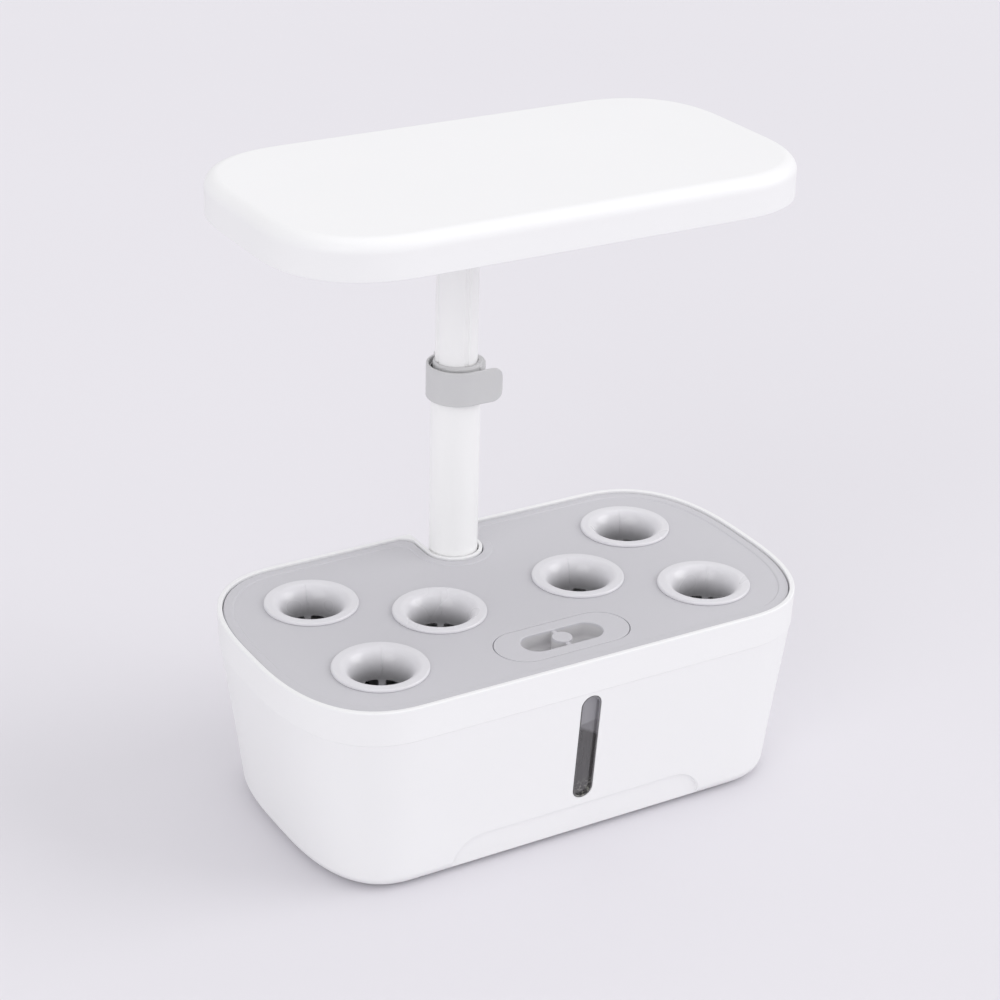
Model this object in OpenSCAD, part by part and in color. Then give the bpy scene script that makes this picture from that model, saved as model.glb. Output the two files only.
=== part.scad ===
// Countertop hydroponic garden: a water tub with a lift-off grow deck, six net baskets,
// a fill cap, a telescopic mast with a flip-lock clamp, and a grow lamp.
// Millimetres, +Z up. The origin is on the surface the garden stands on, under the middle
// of its overall box. Modules are drawn about the middle of the tub and moved there by in_frame().

/* [Tank] */
// Outside width of the rim
tank_w = 285.4; // [270:0.2:296]
// Outside depth of the rim
tank_d = 159.6; // [154:1:170]
// Height of the tub from its base to its rim
tank_h = 102; // [95:1:115]
// Reach of the rounded corners along the front
corner_r = 53.8; // [44:0.2:66]
// Straight length in the middle of each end
end_flat = 6; // [2:1:50]
// Squareness of the corners, where 2 is a circular arc
corner_n = 2.57; // [2:0.01:3]
// Squareness of the tank's corners at its base
base_n = 2.72; // [2.4:0.01:3.2]
// Thickness of the walls
wall_t = 2.4; // [2:0.1:3]
// Thickness of the floor
floor_t = 2.8; // [2.4:0.1:4]
// Width of the flat top of the rim
rim_t = 2.4; // [1.8:0.1:2.8]
// Rounding of the outer edge of the rim
rim_r = 0.7; // [0.4:0.1:0.9]
// Height of the steep band below the rim
band_h = 17.5; // [14:0.5:20]
// Draft of the band in degrees
band_draft = 1.6; // [0.5:0.1:3]
// Draft of the end walls below the band in degrees
end_draft = 8.6; // [4:0.1:10]
// Draft of the front and rear walls below the band in degrees
side_draft = 5.4; // [3:0.1:7]
// Rounding of the bottom edge
base_r = 7; // [5:0.5:10]

/* [Front of the tank] */
// Width of the level window
window_w = 10.7; // [8:0.1:14]
// Length of the level window along the wall
window_len = 60; // [45:1:62]
// Depth of the window's top below the rim
window_drop = 19.8; // [19:0.2:24]
// Width of the shallow relief along the front edge
relief_w = 142; // [100:1:150]
// Height of the relief above the base
relief_h = 18; // [12:1:19]
// Depth of the relief
relief_t = 1.3; // [0.6:0.1:1.5]

/* [Grow deck] */
// Depth of the deck's border below the rim
deck_drop = 1.1; // [0.4:0.1:2]
// Gap between the deck and the rim
deck_gap = 0.5; // [0.4:0.1:1]
// Thickness of the deck at its border
deck_t = 3; // [2.5:0.1:4]
// Width of the raised border
border_w = 5; // [3:0.5:6]
// Depth of the field below the border
field_drop = 0.5; // [0.3:0.1:0.8]
// Width of the ledge inside the tub that carries the deck
ledge_w = 5; // [4:0.1:6]
// Height of the skirt and of the collars below the deck
skirt_h = 6; // [4:0.5:7]
// Thickness of the skirt and of the collars
skirt_t = 1.6; // [1.2:0.1:2.4]

/* [Baskets] */
// Distance of the four outer baskets from the ends of the tank
basket_end = 48.8; // [46:0.1:51]
// Distance of the four outer baskets from the front and rear of the tank
basket_side = 43.4; // [42:0.2:45]
// Distance along X between the outer baskets and the inner ones
basket_step = 51.9; // [49:0.5:54]
// Diameter of a basket's flange
flange_d = 46.8; // [44:0.2:50]
// Height of a basket's flange above the deck
flange_t = 1.6; // [1.2:0.1:2.4]
// Inside diameter of a basket's throat
throat_d = 26.5; // [25:0.5:28]
// Depth of a basket below the deck
basket_h = 44; // [38:1:50]
// Thickness of a basket's wall
basket_t = 1.4; // [1.2:0.1:1.8]

/* [Fill cap] */
// Length of the cap
cap_w = 72; // [66:1:76]
// Width of the cap
cap_d = 30; // [28:0.5:32]
// Distance of the cap's middle from the front of the tank
cap_in = 30.1; // [28:0.1:31]
// Gap round the cap
cap_gap = 0.35; // [0.3:0.05:0.5]
// Thickness of the cap's plate
cap_t = 2; // [1.6:0.1:2.4]
// Length of the finger recess
grip_w = 44; // [38:1:48]
// Width of the finger recess
grip_d = 16.5; // [14:0.5:17.5]
// Depth of the finger recess
grip_h = 9; // [7:0.5:12]
// Thickness of the web across the finger recess
web_t = 2.4; // [1.6:0.1:3]
// Diameter of the boss on the web
boss_d = 9.2; // [6:0.2:11]

/* [Mast] */
// Distance of the mast's middle from the rear of the tank
mast_rear = 22.3; // [22:0.1:24]
// Outside diameter of the lower tube
tube_d = 25.1; // [24:0.1:26]
// Wall of the lower tube
tube_t = 1.3; // [1:0.1:1.5]
// Outside diameter of the upper tube
mast_d = 21.4; // [20:0.1:21.8]
// Wall of the upper tube
mast_t = 1.4; // [1.2:0.1:1.8]
// Width of the grooves along the upper tube
groove_w = 2.4; // [1.6:0.1:3]
// Depth of the grooves
groove_h = 0.6; // [0.4:0.1:0.8]
// Height of the clamp above the deck
clamp_rise = 86.2; // [80:0.2:95]
// Height of the clamp
clamp_h = 18; // [15:0.2:20]
// How far the lamp can be raised from rest
mast_up = 60; // [50:1:62]
// How far the upper tube still reaches below the clamp when it is raised
mast_grip = 24; // [20:1:28]

/* [Clamp lever] */
// Thickness of the clamp's collar under the lever
collar_t = 0.6; // [0.6:0.1:1]
// Thickness of the clamp's collar beside the lever
jaw_t = 2.1; // [1.6:0.1:2.4]
// Gap between the collar and the lever where it is smallest
lever_gap = 0.3; // [0.3:0.05:0.6]
// Thickness of the lever
lever_t = 1.45; // [1.2:0.05:1.8]
// Bulge of the lever to the front
lever_bulge = 1.6; // [1.2:0.1:2]
// Reach of the lever's tab past the mast
tab_l = 17.6; // [14:0.1:22]
// Rounding of the corners of the tab
tab_round = 5.6; // [3:0.2:8]
// Diameter of the hinge pin
pin_d = 2; // [1.6:0.1:2.2]

/* [Lamp head] */
// Width of the lamp head
lamp_w = 274; // [264:1:284]
// Depth of the lamp head
lamp_d = 147; // [142:1:156]
// Height of the lamp head
lamp_h = 19; // [18:0.5:22]
// Corner reach of the lamp head in plan
lamp_corner = 56; // [46:1:60]
// Squareness of the lamp's corners
lamp_n = 2.43; // [2:0.01:3]
// Rounding of the lamp head's top edge
lamp_r = 6.5; // [5:0.5:9]
// Wall of the lamp cover
lamp_t = 2; // [1.6:0.1:2.2]
// Distance of the lamp head's middle in front of the mast
lamp_reach = 43.1; // [42:0.1:46]
// Height of the lamp head above the deck at rest
lamp_rise = 200.6; // [199:0.2:215]
// Width of the lamp base beside the light window
light_side = 29; // [28:0.5:36]
// Width of the lamp base in front of the light window
light_front = 13.6; // [12:0.2:18]
// Light sources along X
led_nx = 12; // [8:1:12]
// Light sources along Y
led_ny = 5; // [3:1:5]

/* [Pump] */
// Length of the pump housing
pump_w = 38; // [34:1:42]
// Depth of the pump housing
pump_d = 26; // [24:1:28]
// Height of the pump housing
pump_h = 27; // [26:1:30]

/* [Feet] */
// Diameter of a rubber foot
foot_d = 14; // [10:0.5:16]
// How far a foot stands out of the base
foot_proud = 1.2; // [1:0.1:2]

/* [Hidden] */
$fn = 48;

// Fineness of the sculpted shells
corner_seg = 12;
edge_seg = 5;
// Gaps: between faces that only rest together, round screws, and for shafts that turn or slide
seat = 0.02;
play = 0.3;
fit = 0.05;
// How far a cut runs past a face
past = 1;

white = [0.95, 0.95, 0.95];
grey = [0.77, 0.77, 0.79];
pale = [0.82, 0.82, 0.83];
steel = [0.7, 0.7, 0.72];
board_green = [0.1, 0.35, 0.2];
black = [0.08, 0.08, 0.08];

// Heights
base_z = foot_proud;
rim_z = base_z + tank_h;
floor_z = base_z + floor_t;
border_z = rim_z - deck_drop;
field_z = border_z - field_drop;
ledge_z = border_z - deck_t;
ledge_t = 2.5;
lamp_z = field_z + lamp_rise;
clamp_z = field_z + clamp_rise;

// Places along Y and X, measured from the middle of the tub
mast_y = tank_d / 2 - mast_rear;
cap_y = tank_d / 2 - cap_in;
lamp_y = mast_y - lamp_reach;
outer_x = tank_w / 2 - basket_end;
outer_y = tank_d / 2 - basket_side;
inner_x = outer_x - basket_step;

// The middle of the overall box, measured from the middle of the tub
box_y = (max(tank_d / 2, lamp_y + lamp_d / 2) + min(-tank_d / 2, lamp_y - lamp_d / 2)) / 2;

// Deck
deck_in = rim_t + deck_gap;
skirt_in = ledge_w + deck_gap;
collar_half = tube_d / 2 + 0.75 + 1.8;
well_r = tube_d / 2 + 0.75;
notch_r = collar_half + 0.5;
notch_round = 6.5;
basket_at = [[-outer_x, -outer_y], [-outer_x, outer_y], [-inner_x, 0],
    [inner_x, 0], [outer_x, -outer_y], [outer_x, outer_y]];
cap_lap = 2;
neck_r = flange_d / 2 - 2.6;
hole_r = neck_r + 0.4;

// Bay for the mast socket and the electronics, inside the rear wall
bay_w = 80;
bay_t = 2.2;
bay_skin = 0.8;
bay_y = mast_y - tube_d / 2 - 5;
bay_lift = 0.4;
bay_top = rim_z - 21.6;
bay_mid = (floor_z + bay_top) / 2;
cover_w = 74;
cover_h = 58;
cover_t = 2;
cover_corner = 6;
cover_gap = 0.3;
cover_lip = 9;
cover_screw_x = cover_w / 2 - 4.5;
cover_screw_z = cover_h / 2 - 4.5;
inlet_x = 22;
inlet_drop = 14;
inlet_r = 4.2;
inlet_bore = 3.1;

// Screws
screw_r = 1.5;
head_r = 2.7;
head_h = 1.2;

// Mast
socket_r = tube_d / 2 + 2.4;
socket_h = 34;
socket_seat = 4;
socket_lift = 14;
socket_back = 11;
socket_foot = 5;
socket_z = floor_z + bay_lift;
tube_z = socket_z + socket_lift + socket_seat;
tube_top = clamp_z + 11;
mast_z = clamp_z - mast_up - mast_grip;
mast_top = lamp_z + 12.6;
tube_in = tube_d / 2 - tube_t;
mast_in = mast_d / 2 - mast_t;
lead_r = mast_in - 3.5;

// Clamp
collar_in = tube_d / 2 + fit;
collar_out = collar_in + collar_t;
jaw_out = collar_in + jaw_t;
jaw_from = -62;
jaw_to = 88;
lever_mid = [lever_bulge / 4, -lever_bulge / 2];
lever_in = collar_out + lever_gap + norm(lever_mid);
lever_out = lever_in + lever_t;
lever_front = lever_mid.y - lever_out;
lug_t = 3.4;
knuckle_r = pin_d / 2 + 0.9;
pin_at = collar_in + 0.35 + knuckle_r;
pin_angle = 100;
pin_pos = [pin_at * cos(pin_angle), pin_at * sin(pin_angle)];
lever_angle = pin_angle + 10;
lever_z = clamp_z - 0.4;
lever_h = clamp_h;
collet_h = 3;
liner_t = 1.4;
collet_off = [0.9, -0.5];

// Lamp head
lamp_floor = lamp_z + 0.8;
lamp_plate = 2.4;
lamp_roof = lamp_z + lamp_h - lamp_t;
lamp_gap = 0.3;
lamp_lip = 6;
light_rear = mast_y - 17;
light_w = lamp_w - 2 * light_side;
light_d = light_rear - (lamp_y - lamp_d / 2 + light_front);
light_y = light_rear - light_d / 2;
light_corner = 14;
light_ledge = 2;
board_z = lamp_z + 10;
board_t = 1.6;
led_s = 5;
led_h = 1.4;
led_px = (light_w - 30) / (led_nx - 1);
led_py = (light_d - 24) / (led_ny - 1);
led_post = [led_px * (led_nx / 2 - 2), light_d / 2 - 7];
post_in = [14, 37.5];
post_at = [lamp_w / 2 - post_in.x, lamp_d / 2 - post_in.y];
rear_post_at = [46, lamp_d / 2 - 12];
lamp_post = [for (s = [-1, 1]) each [[s * post_at.x, -post_at.y], [s * post_at.x, post_at.y],
    [s * rear_post_at.x, rear_post_at.y]]];
bracket_r = mast_d / 2 + 2.6;
bracket_x = 20;
bracket_depth = 26;
bracket_in = 4;
bracket_post = [bracket_x - bracket_in, bracket_depth / 2 - bracket_in];
bracket_z = lamp_z + 11;
bracket_t = 3;
control_rear = 27.4;
control_at = [50, lamp_y + lamp_d / 2 - control_rear];
control_l = 50;
control_w = 18;
control_post = control_l / 2 - 5;
button_x = [control_at.x - 8, control_at.x + 8];
button_r = 4;
button_y = control_at.y;
switch_h = 3.6;
switch_l = 6;
stem_in = 0.6;
button_travel = 1;

// Pump
pump_at = [-bay_w / 2 - 26, mast_y - 7.5];
cup_h = 4;
cup_r = 5;
pump_z = floor_z + cup_h;
axle_z = pump_z + 13;
rotor_r = 5.6;
rotor_l = 15;
vane_r = 9.4;
vane_l = 5.5;
chamber_r = vane_r + 1.4;
chamber_l = vane_l + 1.6;
shaft_r = 1;
intake_t = 2;
lead_d = 4;
grommet_z = bay_top - 9;

// Places every module in the frame whose origin is under the middle of the overall box.
module in_frame() {
    translate([0, -box_y, 0]) children();
}

// Rounded outlines and the shells made from them

function sgn_pow(v, e) = sign(v) * pow(abs(v), e);

// Outline of a rounded rectangle whose corners are superellipses, anticlockwise.
function outline(w, d, rx, ry, n) = [for (q = [0:3], i = [0:corner_seg])
    let (a = 90 * (q + i / corner_seg),
        cx = (q == 0 || q == 3 ? 1 : -1) * (w / 2 - rx),
        cy = (q < 2 ? 1 : -1) * (d / 2 - ry))
    [cx + rx * sgn_pow(cos(a), 2 / n), cy + ry * sgn_pow(sin(a), 2 / n)]];

// Outline of the tank, set in by one amount at the ends and another at the front and rear.
function tank_plan(end_in, side_in, n = corner_n) =
    let (reach = [corner_r - end_in, (tank_d - end_flat) / 2 - side_in])
    outline(tank_w - 2 * end_in, tank_d - 2 * side_in, reach.x, reach.y, n);

function level(plan, z) = [for (p = plan) [p.x, p.y, z]];

// Inset of the tub's outer wall at a depth below the rim.
function wall_in(sink, draft) = min(sink, band_h) * tan(band_draft) + max(sink - band_h, 0) * tan(draft);

// Level ring of the tub, set in from its outer wall.
function tub_ring(z, inset) =
    let (end_in = wall_in(rim_z - z, end_draft) + inset, side_in = wall_in(rim_z - z, side_draft) + inset,
        low = max(rim_z - z - band_h, 0) / (tank_h - band_h))
    level(tank_plan(end_in, side_in, corner_n + (base_n - corner_n) * low), z);

function tub_outside() = concat(
    [for (k = [0:edge_seg]) let (a = 90 * k / edge_seg)
        tub_ring(base_z + base_r * (1 - cos(a)), base_r * (1 - sin(a)))],
    [tub_ring(rim_z - band_h, 0)],
    [for (k = [0:2]) let (a = 45 * k) tub_ring(rim_z - rim_r * (1 - sin(a)), rim_r * (1 - cos(a)))]);

function tub_inside() =
    let (round_r = base_r - wall_t)
    concat(
        [tub_ring(rim_z, rim_t - rim_r / 2), tub_ring(rim_z - rim_r / 2, rim_t), tub_ring(ledge_z, rim_t),
            tub_ring(ledge_z, ledge_w), tub_ring(ledge_z - ledge_t, ledge_w),
            tub_ring(ledge_z - ledge_t - ledge_w + wall_t, wall_t), tub_ring(rim_z - band_h, wall_t)],
        [for (k = [0:edge_seg]) let (a = 90 * k / edge_seg)
            tub_ring(floor_z + round_r * (1 - sin(a)), wall_t + round_r * (1 - cos(a)))]);

// The space inside the tub's outer wall, set in from it.
function tub_plug(inset) = [tub_ring(base_z + floor_t / 2, inset + 0.6 * base_r),
    for (z = [base_z + base_r, rim_z - band_h, rim_z + past]) tub_ring(z, inset)];

// Closed shell through level rings. The first ring is capped facing down, the last facing up.
module skin(rings) {
    n = len(rings[0]);
    m = len(rings);
    polyhedron(
        points = [for (r = rings) each r],
        faces = concat(
            [[for (i = [0:n - 1]) i]],
            [for (k = [0:m - 2], i = [0:n - 1], half = [0, 1])
                let (j = (i + 1) % n, a = k * n + i, b = k * n + j, c = b + n, d = a + n)
                half == 0 ? [a, d, c] : [a, c, b]],
            [[for (i = [n - 1:-1:0]) (m - 1) * n + i]]),
        convexity = 6);
}

// Flat plate of an outline, from z0 to z1.
module plate(plan, z0, z1) {
    translate([0, 0, z0]) linear_extrude(z1 - z0) polygon(plan);
}

// Stadium along X, and the same standing up along Y in 2D.
module stadium(w, d) {
    for (s = [-1, 1]) translate([s * (w - d) / 2, 0]) circle(d = d);
    square([w - d, d], center = true);
}

module stadium_up(w, len) {
    rotate(90) stadium(len, w);
}

module round_rect(w, d, r) {
    for (sx = [-1, 1], sy = [-1, 1]) translate([sx * (w / 2 - r), sy * (d / 2 - r)]) circle(r);
    square([w - 2 * r, d], center = true);
    square([w, d - 2 * r], center = true);
}

// Extrudes a 2D shape drawn in X and Z along Y, from y0 to y1.
module along_y(y0, y1) {
    translate([0, y1, 0]) rotate([90, 0, 0]) linear_extrude(y1 - y0) children();
}

// Frames on the sloping front and rear walls: local Y is square to the wall, Z runs up it.
module on_front(z) {
    translate([0, -tank_d / 2 + wall_in(rim_z - z, side_draft), z]) rotate([side_draft, 0, 0]) children();
}

module on_rear(z) {
    translate([0, tank_d / 2 - wall_in(rim_z - z, side_draft), z]) rotate([-side_draft, 0, 0]) children();
}

module at_mast() {
    translate([0, mast_y, 0]) children();
}

// Pan-head screw, head down at the origin, shank up along Z.
module screw(shank) {
    translate([0, 0, -head_h]) cylinder(h = head_h, r = head_r);
    cylinder(h = shank, r = screw_r - fit);
}

// Plan of the collar round the mast, open to the rear, which flares into the rear rim.
module collar_plan(half, rear, flare) {
    translate([0, mast_y]) circle(half);
    translate([-half, mast_y]) square([2 * half, rear - mast_y + past]);
    for (s = [-1, 1]) translate([s * half, rear]) difference() {
        translate([s > 0 ? -past : -flare, -flare]) square([flare + past, flare + past]);
        translate([s * flare, -flare]) circle(flare);
    }
}

// Tank

window_mid = rim_z - window_drop - window_len / 2;
wall_n = wall_t * cos(side_draft);
cover_mid = bay_mid + 1;
foot_in = [48, 32];
foot_at = [for (sx = [-1, 1], sy = [-1, 1]) [sx * (tank_w / 2 - foot_in.x), sy * (tank_d / 2 - foot_in.y)]];
socket_screw_at = [for (s = [-1, 1], y = [-10, 1]) [s * (socket_r + 3.4), mast_y + y]];
power_board_l = 40;
power_board_w = 20;
standoff_r = 2.6;
standoff_z = [for (s = [-1, 1]) bay_mid + s * (power_board_l / 2 - 6)];
power_board_x = 7 - bay_w / 2;
power_board_y = mast_y - 6;

module tank() color(white) difference() {
    union() {
        skin(concat(tub_outside(), tub_inside()));
        intersection() {
            skin(tub_plug(wall_t / 2));
            translate([-bay_w / 2 - bay_t, bay_y - bay_t, floor_z - past])
                cube([bay_w + 2 * bay_t, tank_d, bay_top + bay_t - floor_z + past]);
        }
        intersection() {
            skin(tub_plug(rim_t / 2));
            translate([0, 0, bay_top + past]) linear_extrude(rim_z - 0.1 - bay_top - past)
                collar_plan(collar_half, tank_d / 2 - rim_t, notch_round);
        }
    }
    difference() {
        intersection() {
            skin(tub_plug(wall_t + bay_skin));
            translate([-bay_w / 2, bay_y, socket_z]) cube([bay_w, tank_d, bay_top - socket_z]);
        }
        for (s = [-1, 1], t = [-1, 1]) on_rear(cover_mid)
            translate([s * (cover_screw_x + 1), -wall_n - 4, t * cover_screw_z])
                cube([10, 8, 9], center = true);
        for (z = standoff_z) translate([-bay_w / 2 - past, power_board_y, z])
            rotate([0, 90, 0]) cylinder(h = bay_w / 2 + power_board_x - board_t / 2 - seat + past, r = standoff_r);
    }
    translate([0, 0, bay_top + bay_t]) linear_extrude(rim_z) {
        translate([0, mast_y]) circle(well_r);
        translate([-well_r, mast_y]) square([2 * well_r, tank_d]);
    }
    at_mast() translate([0, 0, bay_top - past]) cylinder(h = bay_t + 2 * past, r = tube_d / 2 + play);
    on_rear(cover_mid) {
        along_y(-cover_t - seat, past)
            round_rect(cover_w + 2 * cover_gap, cover_h + 2 * cover_gap, cover_corner);
        along_y(-wall_n - 2 * past, 0) round_rect(cover_w - 6, cover_h - 2 * cover_lip, cover_corner);
        along_y(-wall_n - 2 * past, 0) round_rect(cover_w - 2 * cover_lip, cover_h - 6, cover_corner);
        for (s = [-1, 1], t = [-1, 1]) translate([s * cover_screw_x, 0, t * cover_screw_z])
            rotate([90, 0, 0]) cylinder(h = 9.5, r = screw_r);
    }
    on_front(window_mid) along_y(-past, wall_t + past) stadium_up(window_w, window_len);
    on_front(base_z + relief_h / 2) along_y(-past - base_r, relief_t)
        translate([0, -relief_h]) round_rect(relief_w, 3 * relief_h, 0.9 * relief_h);
    for (p = foot_at) translate([p.x, p.y, base_z - past]) cylinder(h = past + 1, d = foot_d + 0.4);
    for (p = socket_screw_at) translate([p.x, p.y, base_z - past]) {
        cylinder(h = past + head_h + 0.1, r = head_r + play);
        cylinder(h = past + floor_t + bay_lift + past, r = screw_r + play / 2);
    }
    translate([-bay_w / 2 - bay_t / 2, power_board_y, grommet_z]) rotate([0, 90, 0])
        cylinder(h = bay_t + 2 * past, d = lead_d + 3, center = true);
    for (z = standoff_z) translate([-bay_w / 2 - 0.6, power_board_y, z])
        rotate([0, 90, 0]) cylinder(h = bay_w / 2, r = screw_r);
}

module feet() color(black) for (p = foot_at) translate([p.x, p.y, 0])
    cylinder(h = foot_proud + 1 - seat, d = foot_d);

// Level window

gasket_t = 1;
window_lap = 3.5;
window_in = 0.9;
flange_in = wall_n + seat + gasket_t + seat;
flange_h = 1.6;

module level_window() color([0.4, 0.4, 0.42]) on_front(window_mid) {
    along_y(window_in, flange_in + flange_h) stadium_up(window_w - play, window_len - play);
    along_y(flange_in, flange_in + flange_h)
        stadium_up(window_w + 2 * window_lap, window_len + 2 * window_lap);
}

module window_gasket() color(black) on_front(window_mid) along_y(wall_n + seat, wall_n + seat + gasket_t)
    difference() {
        stadium_up(window_w + 2 * window_lap - 1, window_len + 2 * window_lap - 1);
        stadium_up(window_w + 1, window_len + 1);
    }

// Electronics bay

plug_l = 6;
plug_h = 4;
plug_y = power_board_w / 2 - plug_l / 2 - 0.5;
coil_r = 4;
chip_h = 2;

module rear_cover() color(white) on_rear(cover_mid) difference() {
    along_y(-cover_t, 0) round_rect(cover_w, cover_h, cover_corner);
    for (s = [-1, 1], t = [-1, 1]) translate([s * cover_screw_x, past, t * cover_screw_z])
        rotate([90, 0, 0]) {
            cylinder(h = head_h + past, r = head_r + play);
            cylinder(h = cover_t + 2 * past, r = screw_r + play / 2);
        }
    translate([inlet_x, past, -inlet_drop]) rotate([90, 0, 0])
        cylinder(h = cover_t + 2 * past, r = inlet_r + 0.2);
}

module cover_screws() color(steel) on_rear(cover_mid)
    for (s = [-1, 1], t = [-1, 1]) translate([s * cover_screw_x, -head_h, t * cover_screw_z])
        rotate([90, 0, 0]) screw(7);

// Coaxial inlet: a round mouth in the cover with a centre pin, and a box behind it.
module power_inlet() color(black) on_rear(cover_mid)
    translate([inlet_x, 0, -inlet_drop]) rotate([90, 0, 0]) {
        difference() {
            union() {
                translate([0, 0, -0.6]) cylinder(h = cover_t + 2, r = inlet_r);
                translate([-6, -5.5, cover_t + seat]) cube([12, 11, 12]);
            }
            translate([0, 0, -past]) cylinder(h = past + 9.5, r = inlet_bore);
        }
        cylinder(h = 12, r = 1);
    }

module power_board() color(board_green) translate([power_board_x, power_board_y, bay_mid])
    rotate([0, 90, 0]) {
        difference() {
            cube([power_board_l, power_board_w, board_t], center = true);
            for (z = standoff_z) translate([bay_mid - z, 0, 0])
                cylinder(h = 4, r = screw_r + play / 2, center = true);
        }
        for (p = [[-1, 1], [1, 1], [1, -1]])
            translate([p.x * (power_board_l - plug_l) / 2, p.y * plug_y, board_t / 2 + plug_h / 2])
                cube([plug_l, plug_l, plug_h + 2 * seat], center = true);
        translate([0, -coil_r, board_t / 2 - seat]) cylinder(h = 2 * coil_r + 1, r = coil_r);
        translate([2, plug_y, board_t / 2 + chip_h / 2])
            cube([2 * plug_l - 4, plug_l, chip_h + 2 * seat], center = true);
    }

module board_screws() color(steel) for (z = standoff_z)
    translate([power_board_x + board_t / 2 + seat, power_board_y, z]) rotate([0, -90, 0]) screw(5);

// Mast, fixed part. The socket stands on the floor of the bay; its back is cut away beside the wall.

module mast_socket() color(grey) difference() {
    union() {
        intersection() {
            at_mast() translate([0, 0, socket_z + seat])
                cylinder(h = tube_z + socket_h - socket_z, r = socket_r);
            union() {
                translate([-socket_r, 0, socket_z]) cube([2 * socket_r, mast_y + socket_foot, tube_z]);
                translate([-socket_r, 0, socket_z + 8]) cube([2 * socket_r, mast_y + socket_back, rim_z]);
            }
        }
        translate([-socket_r - 6.6, mast_y - 14, socket_z + seat])
            cube([2 * socket_r + 13.2, 14 + socket_foot, socket_seat - seat]);
    }
    at_mast() {
        translate([0, 0, tube_z]) cylinder(h = socket_h + past, r = tube_d / 2 + fit);
        translate([0, 0, socket_z - past]) cylinder(h = tube_z, r = lead_r - 2);
        translate([0, 0, tube_z + socket_h / 2]) rotate([0, -90, 0])
            cylinder(h = 2 * socket_r, r = screw_r + play / 2);
    }
    for (p = socket_screw_at) translate([p.x, p.y, socket_z]) cylinder(h = socket_seat + past, r = screw_r);
}

module socket_screws() color(steel) for (p = socket_screw_at)
    translate([p.x, p.y, base_z + head_h + 0.1 - seat]) screw(floor_t + bay_lift + 1.6);

module lower_tube() color(white) at_mast() difference() {
    translate([0, 0, tube_z + seat]) cylinder(h = tube_top - tube_z, r = tube_d / 2);
    translate([0, 0, tube_z - past]) cylinder(h = tube_top, r = tube_in);
    translate([0, 0, tube_z + socket_h / 2]) rotate([0, -90, 0])
        cylinder(h = 2 * socket_r, r = screw_r + play / 2);
}

module tube_screw() color(steel) translate([-socket_r - seat, mast_y, tube_z + socket_h / 2])
    rotate([0, 90, 0]) screw(socket_r - tube_in + 0.4);

// Clamp: the collar sits on the lower tube, and the lever hinges on a pin behind it.

module clamp_slice(z0, z1, r0, r1) {
    translate([0, 0, z0]) difference() {
        cylinder(h = z1 - z0, r = r1);
        translate([0, 0, -past]) cylinder(h = z1 - z0 + 2 * past, r = r0);
    }
}

// Plan of a wedge about the mast, under 180 degrees wide.
module wedge(a0, a1) {
    reach = 4 * jaw_out;
    mid = (a0 + a1) / 2;
    polygon([[0, 0], reach * [cos(a0), sin(a0)], 2 * reach * [cos(mid), sin(mid)],
        reach * [cos(a1), sin(a1)]]);
}

module lug(z0, z1) {
    translate([0, 0, z0]) linear_extrude(z1 - z0) difference() {
        union() {
            translate(pin_pos) circle(knuckle_r);
            rotate(pin_angle) translate([collar_in, -knuckle_r]) square([pin_at - collar_in, 2 * knuckle_r]);
        }
        circle(collar_in + collar_t / 2);
    }
}

module clamp_collar() color(grey) at_mast() {
    top = clamp_z + clamp_h;
    difference() {
        union() {
            clamp_slice(clamp_z + 0.4, tube_top + 0.5, collar_in, collar_out);
            clamp_slice(tube_top + 0.5, top - collet_h + 0.1, mast_d / 2 + liner_t + seat, collar_out);
            translate([0, 0, clamp_z + 0.4]) linear_extrude(clamp_h - 0.4) difference() {
                intersection() {
                    circle(jaw_out);
                    wedge(jaw_from, jaw_to);
                }
                circle(collar_out - 0.2);
            }
            lug(clamp_z + 0.4, clamp_z + lug_t);
            lug(top - lug_t, top);
            translate([collet_off.x, collet_off.y, top - collet_h]) {
                cylinder(h = collet_h, r = collar_out - 0.4);
                translate([0, 0, collet_h]) cylinder(h = 1, r1 = collar_out - 0.4, r2 = collar_out - 1.2);
            }
        }
        translate([0, 0, top - collet_h - past / 2]) cylinder(h = past / 2, r = mast_d / 2 + liner_t + seat);
        translate([0, 0, top - collet_h - past]) cylinder(h = collet_h + 3 * past, r = mast_d / 2 + play);
        translate([pin_pos.x, pin_pos.y, clamp_z]) cylinder(h = clamp_h - 1, r = pin_d / 2);
        translate([pin_pos.x, pin_pos.y, clamp_z + lug_t])
            cylinder(h = clamp_h - 2 * lug_t, r = knuckle_r + 0.6);
        rotate(pin_angle + 32) translate([0, -0.8, clamp_z - past])
            cube([jaw_out + past, 1.6, clamp_h - collet_h]);
    }
}

module clamp_liner() color(black) at_mast()
    clamp_slice(tube_top + seat, clamp_z + clamp_h - collet_h - seat, mast_d / 2 + fit, mast_d / 2 + liner_t);

module clamp_pin() color(steel) at_mast() translate([pin_pos.x, pin_pos.y, clamp_z + 0.4])
    cylinder(h = clamp_h - 1.4 - seat, r = pin_d / 2 - seat);

// Plan of the lever: a band round the left of the collar, from an angle to the front.
module band_plan(from) {
    difference() {
        translate(lever_mid) circle(lever_out);
        translate(lever_mid) circle(lever_in);
        translate([lever_mid.x, -2 * lever_out]) square([2 * lever_out, 4 * lever_out]);
        rotate(from) translate([-past, -2 * lever_out]) square([2 * lever_out, 2 * lever_out]);
    }
}

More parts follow.
